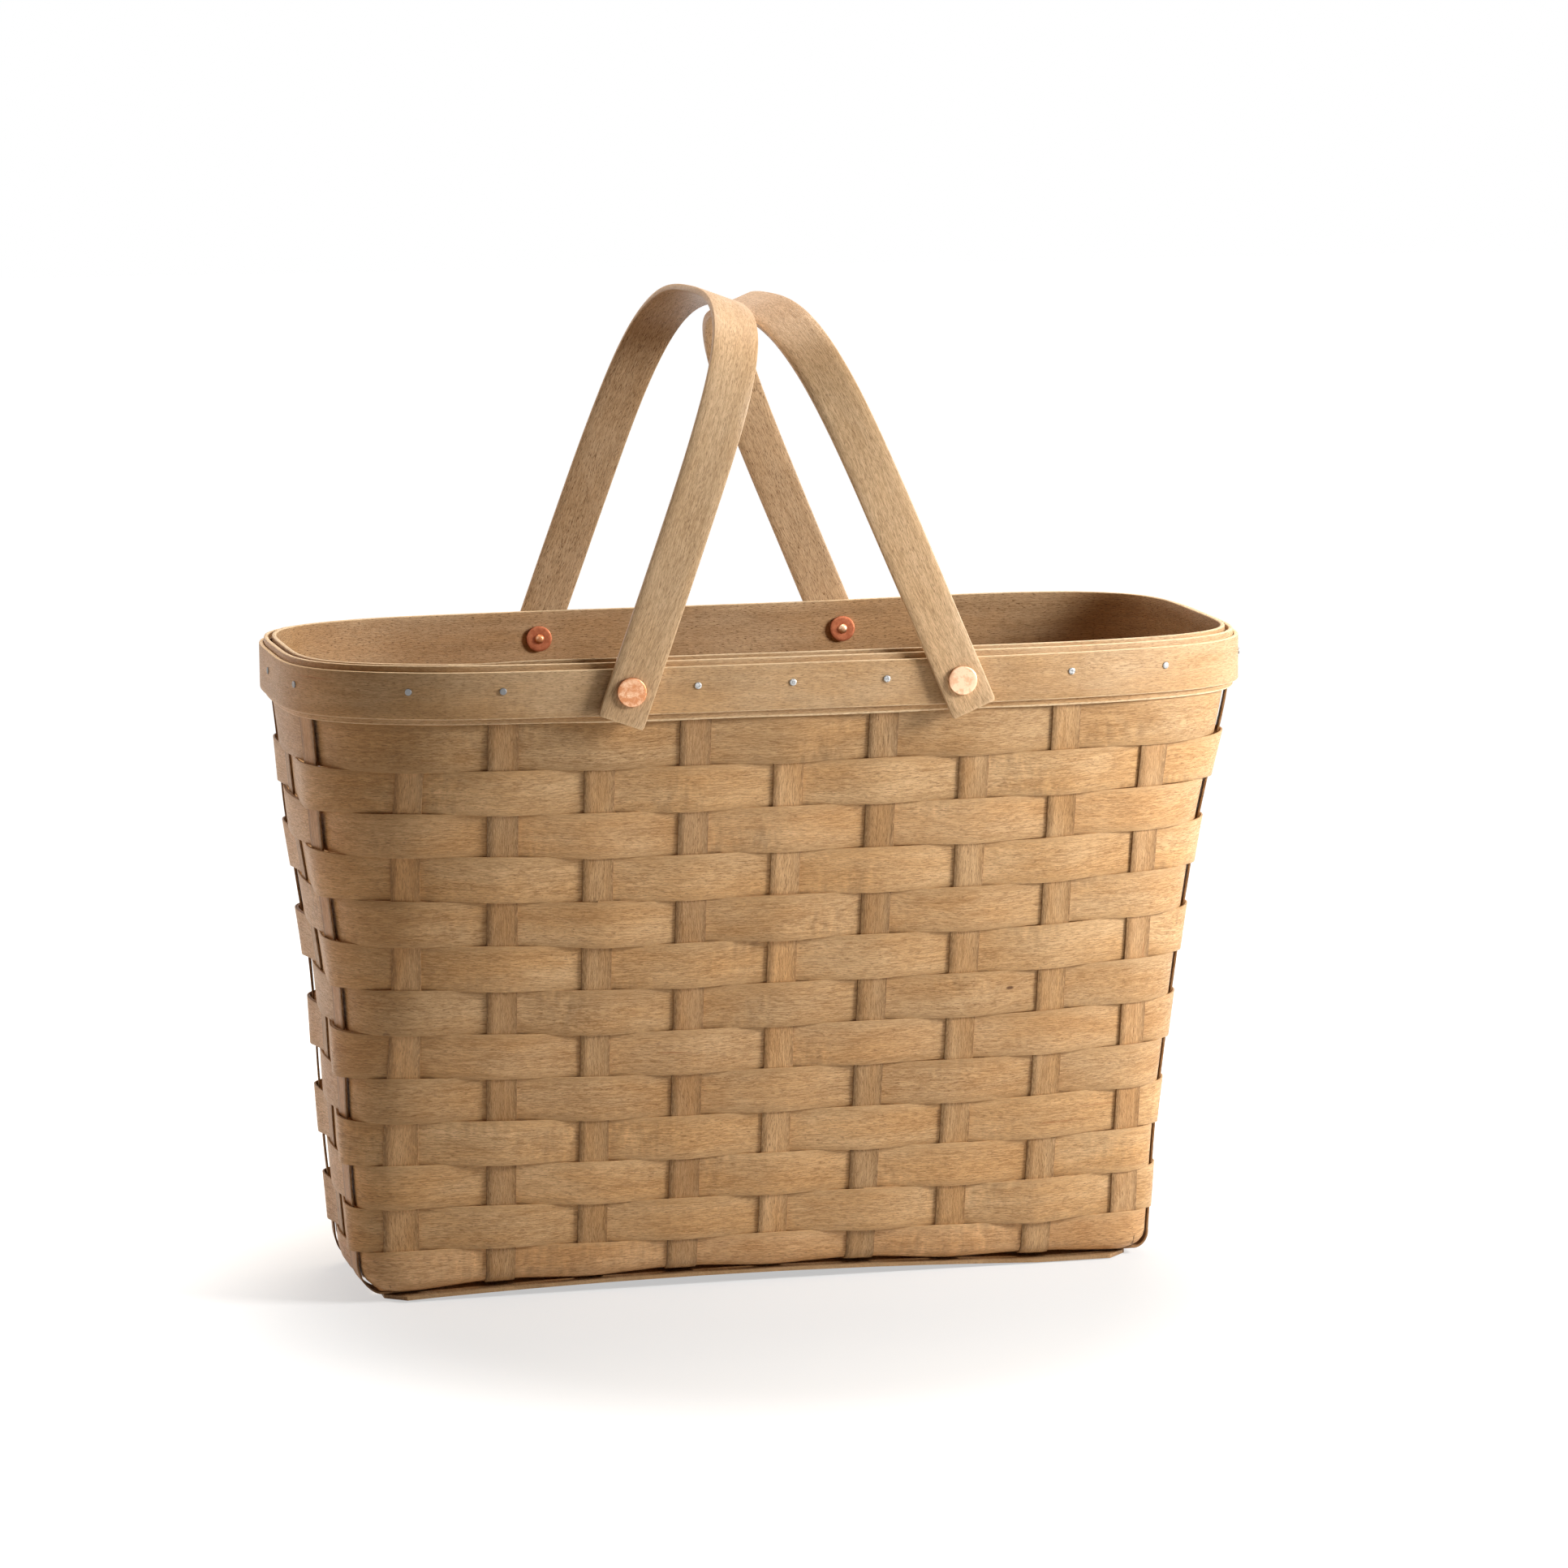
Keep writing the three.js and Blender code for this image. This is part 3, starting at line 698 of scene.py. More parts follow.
class Graph:
    """Short ways to place nodes in a material, a world or a node group."""

    def __init__(self, tree: Tree) -> None:
        """Works on the given tree."""
        self.tree = tree

    @classmethod
    def of(cls, owner: bpy.types.ID) -> "Graph":
        """Empties the graph of a material or a world.

        Args:
            owner: The material or the world.

        Returns:
            Its graph.
        """
        owner.use_nodes = True
        owner.node_tree.nodes.clear()
        return cls(owner.node_tree)

    def put(self, socket: Socket, value: object) -> None:
        """Links a socket's value, or sets it where it is a plain one. A colour gets its alpha of 1.

        Args:
            socket: An input.
            value: Another node's output, or a number, vector or colour.
        """
        if isinstance(value, Socket):
            self.tree.links.new(value, socket)
        else:
            socket.default_value = (*value, 1) if socket.type == "RGBA" else value

    def node(self, kind: str, inputs: dict[int | str, object] | None = None, **settings: object) -> Node:
        """Adds a node.

        Args:
            kind: The node's type.
            inputs: Values of its inputs, by name or number.
            settings: Its other settings.

        Returns:
            The node.
        """
        made = self.tree.nodes.new(kind)
        for key, value in settings.items():
            setattr(made, key, value)
        for key, value in (inputs or {}).items():
            self.put(made.inputs[key], value)
        return made

    def maths(self, kind: str, *values: object, clamp: bool = False) -> Socket:
        """A step of arithmetic on values."""
        made = self.node("ShaderNodeMath", dict(enumerate(values)), operation=kind, use_clamp=clamp)
        return made.outputs[0]

    def plus(self, first: object, second: object, clamp: bool = False) -> Socket:
        """The sum of two values, kept within 0 and 1 where it is clamped."""
        return self.maths("ADD", first, second, clamp=clamp)

    def minus(self, first: object, second: object) -> Socket:
        """The first value less the second."""
        return self.maths("SUBTRACT", first, second)

    def times(self, first: object, second: object) -> Socket:
        """The product of two values."""
        return self.maths("MULTIPLY", first, second)

    def vector(self, kind: str, *values: object) -> Node:
        """A step of arithmetic on vectors, part by part."""
        return self.node("ShaderNodeVectorMath", dict(enumerate(values)), operation=kind)

    def scaled(self, vector: object, factors: object) -> Socket:
        """A vector times another, part by part."""
        return self.vector("MULTIPLY", vector, factors).outputs[0]

    def noise(self, vector: object, stretch: tuple[float, float, float], detail: float = 1,
              rough: float = 0.5) -> Socket:
        """Smooth noise of about 0 to 1, with the stretch's number of waves to one unit of the vector."""
        inputs = {"Vector": self.scaled(vector, stretch), "Scale": 1, "Detail": detail, "Roughness": rough}
        return self.node("ShaderNodeTexNoise", inputs, noise_dimensions="3D").outputs[0]

    def step(self, value: object, low: float, high: float) -> Socket:
        """A smooth step from 0 at low to 1 at high."""
        inputs = {"Value": value, "From Min": low, "From Max": high}
        return self.node("ShaderNodeMapRange", inputs, interpolation_type="SMOOTHSTEP", clamp=True).outputs[0]

    def mix(self, share: object, first: object, second: object, kind: str = "MIX") -> Socket:
        """A mix of two colours."""
        return self.node("ShaderNodeMix", {0: share, 6: first, 7: second},
                         data_type="RGBA", blend_type=kind, clamp_factor=True).outputs[2]

    def attribute(self, name: str, output: str = "Fac") -> Socket:
        """A mesh attribute's number, or its vector where that is asked for."""
        made = self.node("ShaderNodeAttribute", attribute_name=name, attribute_type="GEOMETRY")
        return made.outputs[output]

    def group(self, tree: Tree, **values: object) -> Node:
        """Places a node group with values for its inputs, named with underscores for blanks."""
        inputs = {key.replace("_", " ").capitalize(): value for key, value in values.items()}
        return self.node("ShaderNodeGroup", inputs, node_tree=tree)

    def surface(self, height: Socket, relief: float, depth: float, inputs: dict[str, object]) -> None:
        """Ends a material with a Principled shader, whose normal comes from a bump of a height.

        Args:
            height: The height.
            relief: Strength of the bump.
            depth: Metres that a height of 1 stands for.
            inputs: The shader's other inputs by name.
        """
        bump = self.node("ShaderNodeBump", {"Strength": relief, "Distance": depth, "Height": height})
        shader = self.node("ShaderNodeBsdfPrincipled", {**inputs, "Normal": bump.outputs[0]})
        self.node("ShaderNodeOutputMaterial", {0: shader.outputs[0]})

    def switch(self, share: Socket, first: Node, second: Node) -> Socket:
        """A mix of two shaders."""
        inputs = {0: share, 1: first.outputs[0], 2: second.outputs[0]}
        return self.node("ShaderNodeMixShader", inputs).outputs[0]


class EffectGroups:
    """Node groups that several finishes share, each built once."""

    def __init__(self) -> None:
        """Builds every group."""
        self.grain = self._grain()
        self.edge_tone_and_painted_light = self._edge_tone_and_painted_light()
        self.mottle = self._mottle()

    @staticmethod
    def _new(name: str, inputs: dict[str, tuple[SocketKind, object]],
             outputs: dict[str, SocketKind]) -> tuple[Graph, bpy.types.NodeOutputs, Node]:
        """Makes an empty group with its sockets.

        Args:
            name: The group's name.
            inputs: Socket kind and value by name.
            outputs: Socket kind by name.

        Returns:
            The graph, what its inputs give and the node of its outputs.
        """
        tree = bpy.data.node_groups.new(name, "ShaderNodeTree")
        for key, (kind, value) in inputs.items():
            socket = tree.interface.new_socket(key, in_out="INPUT", socket_type=kind.value)
            if value is not None:
                socket.default_value = value
        for key, kind in outputs.items():
            tree.interface.new_socket(key, in_out="OUTPUT", socket_type=kind.value)
        graph = Graph(tree)
        return graph, graph.node("NodeGroupInput").outputs, graph.node("NodeGroupOutput")

    def _grain(self) -> Tree:
        """Wood grain on a strip, in metres along, across and out of it.

        Fine dashes and long fibres are noise stretched along the strip on a slightly wavy course.
        Pores are the darkest of still finer dashes. Bands are wider and fainter. Hue is broad soft
        patches, for a warmer or paler cast. Curl is ripples across the strip, in patches. Stains
        are rare thin lines, and flecks are small dark knots.

        Returns:
            The group.
        """
        names = ("Fibre", "Pore", "Band", "Hue", "Curl", "Stain", "Fleck", "Height")
        graph, given, out = self._new("Wood grain", {"Strip": (SocketKind.VECTOR, None)},
                                      dict.fromkeys(names, SocketKind.NUMBER))
        strip = given["Strip"]
        wander = graph.times(graph.minus(graph.noise(strip, (9, 45, 0), 1.5), 0.5), 0.010)
        shift = graph.node("ShaderNodeCombineXYZ", {1: wander})
        course = graph.vector("ADD", strip, shift.outputs[0]).outputs[0]
        dashes = graph.step(graph.noise(course, (260, 2500, 900), 3, 0.75), 0.40, 0.60)
        fibres = graph.step(graph.noise(course, (42, 1300, 500), 3, 0.7), 0.36, 0.64)
        fibre = graph.plus(graph.times(dashes, 0.70), graph.times(fibres, 0.30))
        pore = graph.step(graph.noise(course, (460, 3200, 900)), 0.56, 0.72)
        band = graph.times(graph.noise(course, (12, 210, 60), 2.5, 0.55), 0.4)
        cloud = graph.times(graph.noise(strip, (22, 50, 0), 3, 0.6), 0.6)
        ripple = graph.minus(graph.noise(strip, (260, 75, 0), 2, 0.6), 0.5)
        curl = graph.times(ripple, graph.step(graph.noise(strip, (15, 30, 0)), 0.52, 0.66))
        line = graph.step(graph.noise(course, (14, 420, 0)), 0.70, 0.76)
        where = graph.step(graph.noise(strip, (21, 60, 3)), 0.55, 0.66)
        spots = graph.node("ShaderNodeTexVoronoi", {"Vector": graph.scaled(strip, (11, 24, 0)), "Scale": 1},
                           voronoi_dimensions="2D", feature="F1").outputs
        drawn = graph.node("ShaderNodeSeparateColor", {0: spots["Color"]}).outputs[0]
        spot = graph.minus(1, graph.step(spots["Distance"], 0.010, 0.026))
        hue = graph.step(graph.noise(strip, (15, 42, 7), 3, 0.6), 0.33, 0.67)
        results = (
            fibre, pore, graph.plus(band, cloud), hue,
            curl, graph.times(line, where), graph.times(spot, graph.step(drawn, 0.90, 0.92)),
            graph.minus(graph.plus(fibre, graph.times(curl, 1.2)), graph.times(pore, 0.8)),
        )
        for name, result in zip(names, results):
            graph.put(out.inputs[name], result)
        return graph.tree

    def _edge_tone_and_painted_light(self) -> Tree:
        """Edges: the colour moves to the edge colour where the mask is high, broken up by noise. The edge
        colour is the cut wood's own on most finishes, painted shade on the stakes and partly a painted
        highlight on the rim.

        Returns:
            The group.
        """
        graph, given, out = self._new(
            "Edge tone and painted light",
            {
                "Colour": (SocketKind.COLOUR, None),
                "Edge colour": (SocketKind.COLOUR, None),
                "Mask": (SocketKind.NUMBER, 0.0),
                "Amount": (SocketKind.NUMBER, 0.7),
                "Strip": (SocketKind.VECTOR, None),
            },
            {"Colour": SocketKind.COLOUR},
        )
        breaks = graph.step(graph.noise(given["Strip"], (420, 900, 2600), 2, 0.6), 0.3, 0.6)
        broken = graph.plus(graph.times(breaks, 0.6), 0.4)
        share = graph.times(graph.times(given["Mask"], given["Amount"]), broken)
        graph.put(out.inputs["Colour"], graph.mix(share, given["Colour"], given["Edge colour"]))
        return graph.tree

    def _mottle(self) -> Tree:
        """Mottled metal: clouds of noise at two sizes, with fine scratches in the height.

        Returns:
            The group.
        """
        graph, given, out = self._new(
            "Metal mottle",
            {"Vector": (SocketKind.VECTOR, None), "Size": (SocketKind.NUMBER, 400.0)},
            dict.fromkeys(("Cloud", "Speck", "Height"), SocketKind.NUMBER),
        )
        at = graph.scaled(given["Vector"], given["Size"])
        cloud = graph.noise(at, (1, 1, 1), 3, 0.6)
        scratch = graph.noise(at, (2, 2, 16), 2, 0.6)
        graph.put(out.inputs["Cloud"], graph.step(cloud, 0.3, 0.7))
        graph.put(out.inputs["Speck"], graph.step(graph.noise(at, (5, 5, 5), 2, 0.6), 0.42, 0.62))
        graph.put(out.inputs["Height"], graph.plus(cloud, graph.times(scratch, 0.5)))
        return graph.tree


@dataclass(frozen=True)
class WoodFinish:
    """Bare wood: two grain colours, and those of stains, knots, pores, dulled faces and edges. The inner
    faces' dulling is partly painted shade of the basket's inside, and the edge colour is painted shade on the
    stakes and partly a painted highlight on the rim.
    """

    name: str
    slot: str
    light: Colour
    dark: Colour
    edge: Colour
    red: Colour = (0.42, 0.17, 0.07)
    knot: Colour = (0.10, 0.04, 0.02)
    dull: Colour = (0.60, 0.56, 0.52)
    pore: Colour = (0.17, 0.085, 0.035)
    warm_cast: Colour = (0.955, 0.885, 0.800)
    pale_cast: Colour = (1.040, 1.075, 1.150)
    roughness: float = 0.44
    roughness_span: float = 0.14
    sheen: float = 0.17
    grain: float = 0.74
    edge_amount: float = 0.75
    relief: float = 0.35
    relief_depth: float = 0.00025
    knots: float = 0.85
    stains: float = 0.55
    warmth: float = 0.22
    pores: float = 0.50
    inner_pores: float = 0.35
    # Inner faces are darker: partly the rougher inner side of a splint, partly painted shade of the basket's
    # inside
    inner_dullness_and_shade: float = 0.40
    curl: float = 0.9

    def build(self, groups: EffectGroups) -> Material:
        """Builds the material.

        Args:
            groups: The shared effects.

        Returns:
            The material, its colour, roughness and normal worked out from the strip's own attributes.
        """
        material = bpy.data.materials.new(self.name)
        graph = Graph.of(material)
        strip = graph.attribute("strip", "Vector")
        cast = graph.node("ShaderNodeSeparateXYZ", {0: graph.attribute("cast", "Vector")})
        light, warm, grey = cast.outputs
        inner = graph.attribute("inner_face")
        grain = graph.group(groups.grain, strip=strip).outputs
        bands = graph.times(graph.step(grain["Band"], 0.36, 0.64), 1 - self.grain)
        colour = graph.mix(graph.plus(graph.times(grain["Fibre"], self.grain), bands), self.dark, self.light)
        colour = graph.mix(1, colour, graph.mix(grain["Hue"], self.warm_cast, self.pale_cast), "MULTIPLY")
        colour = graph.mix(graph.times(grain["Stain"], self.stains), colour, self.red)
        colour = graph.mix(graph.times(grain["Fleck"], self.knots), colour, self.knot)
        open_pores = graph.plus(self.pores, graph.times(inner, self.inner_pores))
        colour = graph.mix(graph.times(grain["Pore"], open_pores), colour, self.pore)
        # Inner faces are dulled darker, partly as painted shade of the basket's inside; the grey cast is the
        # strip's own tone
        dulled_and_shaded = graph.plus(graph.times(inner, self.inner_dullness_and_shade), grey, clamp=True)
        colour = graph.mix(dulled_and_shaded, colour, graph.mix(1, colour, self.dull, "MULTIPLY"))
        colour = graph.mix(graph.times(graph.maths("MAXIMUM", warm, 0), self.warmth), colour, self.red)
        # Edge colour: painted shade on the stakes, partly a painted highlight on the rim, the cut wood's own
        # elsewhere
        edged = graph.group(groups.edge_tone_and_painted_light, colour=colour, edge_colour=self.edge,
                            mask=graph.attribute("edge_tone_and_painted_light"), amount=self.edge_amount, strip=strip)
        lightness = graph.plus(graph.plus(1, light), graph.times(grain["Curl"], self.curl))
        tint = graph.node("ShaderNodeCombineColor", dict.fromkeys(range(3), lightness))
        graph.surface(grain["Height"], self.relief, self.relief_depth, {
            "Base Color": graph.mix(1, edged.outputs["Colour"], tint.outputs[0], "MULTIPLY"),
            "Specular IOR Level": self.sheen,
            "Roughness": graph.plus(graph.times(grain["Fibre"], -self.roughness_span),
                                    self.roughness + self.roughness_span / 2),
        })
        return material


@dataclass(frozen=True)
class MetalFinish:
    """Worked metal with clouds and specks of tarnished colour, made brighter or darker per piece by painted
    light.
    """

    name: str
    slot: str
    bright: Colour
    dull: Colour
    roughness: float = 0.34
    tarnish_roughness: float = 0.08
    polish_smoothness: float = 0.12
    speck_share: float = 0.35
    size: float = 420.0
    relief: float = 0.25
    relief_depth: float = 0.0002

    def build(self, groups: EffectGroups) -> Material:
        """Builds the material from object coordinates.

        Args:
            groups: The shared effects.

        Returns:
            The material.
        """
        material = bpy.data.materials.new(self.name)
        graph = Graph.of(material)
        where = graph.node("ShaderNodeTexCoord").outputs["Object"]
        mottle = graph.group(groups.mottle, vector=where, size=self.size).outputs
        specks = graph.plus(graph.times(mottle["Speck"], self.speck_share), 1 - self.speck_share)
        # The polish attribute is painted light: brighter on the right rivets, darker on the left rivets and
        # the left nails
        share = graph.plus(graph.times(mottle["Cloud"], specks), graph.attribute("polish_and_painted_light"), clamp=True)
        graph.surface(mottle["Height"], self.relief, self.relief_depth, {
            "Base Color": graph.mix(share, self.dull, self.bright),
            "Metallic": 1.0,
            "Roughness": graph.plus(graph.times(share, -self.polish_smoothness),
                                    self.roughness + self.tarnish_roughness),
        })
        return material


WEAVER = WoodFinish(
    "Weaver splint", "weaver_splint",
    light=(0.775, 0.508, 0.262), dark=(0.405, 0.228, 0.095), edge=(0.50, 0.31, 0.15),
)
# The stakes' dark edge colour is painted shade: the shadow lines where their edges stand over the weavers
STAKE = WoodFinish(
    "Stake splint", "stake_splint",
    light=(0.700, 0.444, 0.222), dark=(0.395, 0.228, 0.099), edge=(0.16, 0.085, 0.035), grain=0.7, curl=0.3,
)
# The rim's pale edge colour is partly the paler cut wood, partly a painted highlight where the top edges
# catch light from above
RIM = WoodFinish(
    "Rim band wood", "rim_wood",
    light=(0.680, 0.456, 0.252), dark=(0.400, 0.248, 0.121), edge=(0.84, 0.66, 0.43),
    grain=0.65, curl=0.4, edge_amount=0.9,
)
HANDLE = WoodFinish(
    "Handle strap wood", "handle_wood",
    light=(0.700, 0.490, 0.296), dark=(0.410, 0.262, 0.138), edge=(0.66, 0.47, 0.28),
    warm_cast=(0.975, 0.945, 0.905), pale_cast=(1.02, 1.035, 1.065),
    grain=0.8, roughness=0.38, knots=0.0, curl=0.1, relief=0.15,
)
BOARD = WoodFinish(
    "Base board wood", "board_wood",
    light=(0.500, 0.320, 0.170), dark=(0.280, 0.165, 0.080), edge=(0.42, 0.27, 0.14), grain=0.7, knots=0.0,
)
COPPER = MetalFinish(
    "Brushed copper", "rivet_copper",
    bright=(0.95, 0.66, 0.44), dull=(0.58, 0.25, 0.115), roughness=0.40,
)
DULL_COPPER = MetalFinish(
    "Dull copper", "burr_copper",
    bright=(0.58, 0.215, 0.11), dull=(0.38, 0.12, 0.058), roughness=0.50,
)
# The nails' dull colour is also their painted shade at the left
NAIL_METAL = MetalFinish(
    "Nail aluminium", "nail_aluminium",
    bright=(0.72, 0.715, 0.70), dull=(0.20, 0.20, 0.20), roughness=0.38, size=1500.0,
)


@dataclass
class Workshop:
    """What every sub-assembly needs: the basket's form and the built finishes."""

    form: BasketForm = field(default_factory=BasketForm)
    groups: EffectGroups = field(default_factory=EffectGroups)
    built: dict[str, Material] = field(default_factory=dict)

    def finish(self, piece: Object, look: WoodFinish | MetalFinish, body: Body, *nodes: str) -> Object:
        """Dresses a piece, seats it on its body and lets it stand for its solids.

        Args:
            piece: The finished mesh object.
            look: Its finish.
            body: The body that it rides on.
            nodes: Names of the solids that it stands for.

        Returns:
            The same piece.
        """
        if look.name not in self.built:
            self.built[look.name] = look.build(self.groups)
        piece.data.materials.append(self.built[look.name])
        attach(piece, body.value)
        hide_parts(*nodes)
        LOG.info("%s: %d points, rides on %s", piece.name, len(piece.data.vertices), body.value)
        return piece


# The woven body


@dataclass
class Hoop:
    """A strip that runs round the wall at a level, with room for its width above and below."""

    form: BasketForm
    level: float
    reach: float
    samples: int = 620
    fine_samples: int = 7201

    def track(self, start: float, turns: float) -> tuple[Array, Array, Array, Array]:
        """Even steps round the wall.

        The wall's outline at the hoop's level is measured as an arc, and each stake's line has its
        place on it. Between two lines the line number grows evenly with the arc.

        Args:
            start: Line number at which the strip starts.
            turns: How many times it goes round.

        Returns:
            Arc length, line number, and bearings at the strip's lowest and highest level.
        """
        stakes = self.form.bearings(self.level)
        bearing = np.linspace(0, 2 * np.pi, self.fine_samples) + stakes[0]
        point, _ = self.form.at_bearing(bearing, np.full_like(bearing, self.level))
        arc = arc_length(point)
        lines = np.arange(self.form.line_count + 1)
        line_arc = np.interp(stakes, bearing, arc)
        begin = np.interp(start, lines, line_arc)
        run = np.linspace(begin, begin + turns * arc[-1], int(self.samples * turns))
        lap, within = np.divmod(run, arc[-1])
        number = np.interp(within, line_arc, lines)
        middle = np.interp(within, arc, bearing) + 2 * np.pi * lap
        low, high = (
            middle + np.interp(number, lines, self.form.bearings(self.level + side * self.reach) - stakes)
            for side in (-1, 1)
        )
        return run - begin, number, low, high

    def rings(self, low: Array, high: Array, across: Array, out: Array) -> Array:
        """Points of the strip: on the wall at level plus across, moved out along the wall's normal.

        Args:
            low: Bearings at the lowest level, one for each step.
            high: Bearings at the highest level.
            across: Distance up from the hoop's level, step by section point.
            out: Distance out of the wall's middle surface, step by section point.

        Returns:
            Points, step by section by 3.
        """
        share = (across + self.reach) / (2 * self.reach)
        bearing = low[:, None] + (high - low)[:, None] * share
        point, normal = self.form.wall(bearing, self.level + across)
        return self.form.handwork.settle(point + normal * out[..., None])


@dataclass
class WovenWall:
    """The hoops of splint that go over one stake and under the next."""

    shop: Workshop
    width: float = 20.0
    thickness: float = 0.85
    edge: float = 0.18
    overlap: float = 0.32
    row_play: float = 0.25
    row_drop: float = 0.2
    reach_beyond: float = 2.0
    bottom_row_height: float = 16.3
    bottom_tuck: float = 4.3
    tuck: float = 1.4
    swing: float = 0.95
    corner_swing: float = 1.1
    corner_reach: float = 0.3
    straightening: float = 0.24
    sag: float = 0.12
    bottom_sag_share: float = 0.4
    bottom_wander_share: float = 0.5
    lap_gap: float = 0.05
    lap_ease: float = 0.4
    lap_lines: int = 3
    trial_turns: float = 1.5
    lap_starts: tuple[int, ...] = (12, 17, 20, 15, 2, 19, 12, 21, 14, 23, 16, 5, 18)
    warm_rows: tuple[int, ...] = (4, 12)
    warmth: float = 0.5
    wander: Sway = Sway(0.30, 40, (2, 5, 9, 14, 21))
    breadth: Sway = Sway(0.012, 90, (3, 7, 12, 19))
    twist: Sway = Sway(0.14, 140, (4, 11, 17))
    grain_seed: int = 300

    @property
    def rows(self) -> int:
        """How many rows there are."""
        return len(self.lap_starts)

    @property
    def rows_top(self) -> float:
        """Height of the uppermost row's upper edge."""
        return self.shop.form.wall_top - 2 * self.shop.form.clearance

    @property
    def pitch(self) -> float:
        """From one row to the next."""
        return (self.rows_top - self.shop.form.floor_level - self.bottom_row_height) / (self.rows - 1)

    def weave(self, number: Array, row: int) -> Array:
        """The wave of the weave: 1 outside a stake, -1 inside the next, and nearly straight between them."""
        wave = np.cos(np.pi * (number + row))
        return wave * (1 - self.straightening * (1 - wave**2))

    def build(self) -> None:
        """Builds every row."""
        for row in range(self.rows):
            self.row(row)

    def outness(self, number: Array, passed: Array, row: int) -> tuple[Array, Array, Array]:
        """How far a row's middle lies out of the wall.

        The distance is the weave wave times the swing, which grows at the stakes next to the
        corners, where a splint would rather run straight. Where the row laps, its first end lies
        one thickness further in and its last end one thickness further out.

        Args:
            number: Line numbers along the row.
            passed: Lines passed since its start.
            row: The row's number from the top.

        Returns:
            The distance, the wave and how much wider than usual it swings.
        """
        form = self.shop.form
        lines = form.line_count
        wave = self.weave(number, row)
        away = (number[:, None] - form.corner_lines() + lines / 2) % lines - lines / 2
        wide = 1 + self.corner_swing * np.exp(-(away**2) / self.corner_reach).sum(1)
        gap = self.thickness + self.lap_gap
        first = 1 - ease(self.lap_lines - self.lap_ease, self.lap_lines + self.lap_ease, passed)
        final = ease(lines - self.lap_ease, lines + self.lap_ease, passed)
        out = self.swing * wide * wave - first * gap * (1 - wave) / 2 + final * gap * (1 + wave) / 2
        return out, wave, wide

    def row(self, row: int) -> Object:
        """Builds one hoop with its ends lapped over a few stakes.

        The strip's outer parts sag and its inner parts rise a little. It is widest where it is
        furthest from the wall's middle, so that rows overlap there, and both edges wander. The
        uppermost row is tucked a little way up behind the rim bands.

        Args:
            row: The row's number from the top.

        Returns:
            The hoop.
        """
        form = self.shop.form
        last = row == self.rows - 1
        tuck = self.tuck if row == 0 else 0.0
        width = self.bottom_row_height + self.bottom_tuck if last else self.width + self.row_play + tuck
        top = self.rows_top - row * self.pitch + tuck
        hoop = Hoop(form, top - width / 2 - self.row_drop, width / 2 + self.reach_beyond)
        start = self.lap_starts[row]
        start = (start + (start + row) % 2) % form.line_count
        arc, number, low, high = hoop.track(start, self._turns(hoop, start))
        out, wave, wide = self.outness(number, self._passed(number), row)
        section = Section(width, self.thickness, self.edge, 8 if last else 5).loop()
        span = float(arc[-1])
        widen = 1 + 2 * self.overlap * wide / width * wave**2 + self.breadth.along(arc, span, row)
        sag = -self.sag * wave * (self.bottom_sag_share if last else 1)
        drop = sag + self.wander.along(arc, span, row) * (self.bottom_wander_share if last else 1)
        across = section[:, 0] * widen[:, None] + drop[:, None]
        twist = self.twist.along(arc, span, row)
        outs = out[:, None] + section[:, 1] + twist[:, None] * section[:, 0] / self.width
        tone = Tone.drawn(row, warm=self.warmth if row in self.warm_rows else 0.0)
        piece = MeshMaker.strip(f"weaver_splint_{row + 1:02d}", hoop.rings(low, high, across, outs),
                                MeshMaker.places(arc, section), tone, self.grain_seed + row)
        return self.shop.finish(piece, WEAVER, Body.BASKET, f"weaver_{row + 1}")

    def _turns(self, hoop: Hoop, start: int) -> float:
        """Works out how far round a row goes, off a track that is long enough.

        Args:
            hoop: The row's hoop.
            start: Line number at which it starts.

        Returns:
            Turns that end a lap's number of lines past the start.
        """
        arc, number, _, _ = hoop.track(start, self.trial_turns)
        end = np.interp(hoop.form.line_count + self.lap_lines, self._passed(number), arc)
        return float(end / arc[-1] * self.trial_turns)

    def _passed(self, number: Array) -> Array:
        """Line numbers counted on from the start without falling back to 0."""
        lines, steps = self.shop.form.line_count, np.diff(number)
        return np.append(0, np.cumsum(np.where(steps < -lines / 2, steps + lines, steps)))


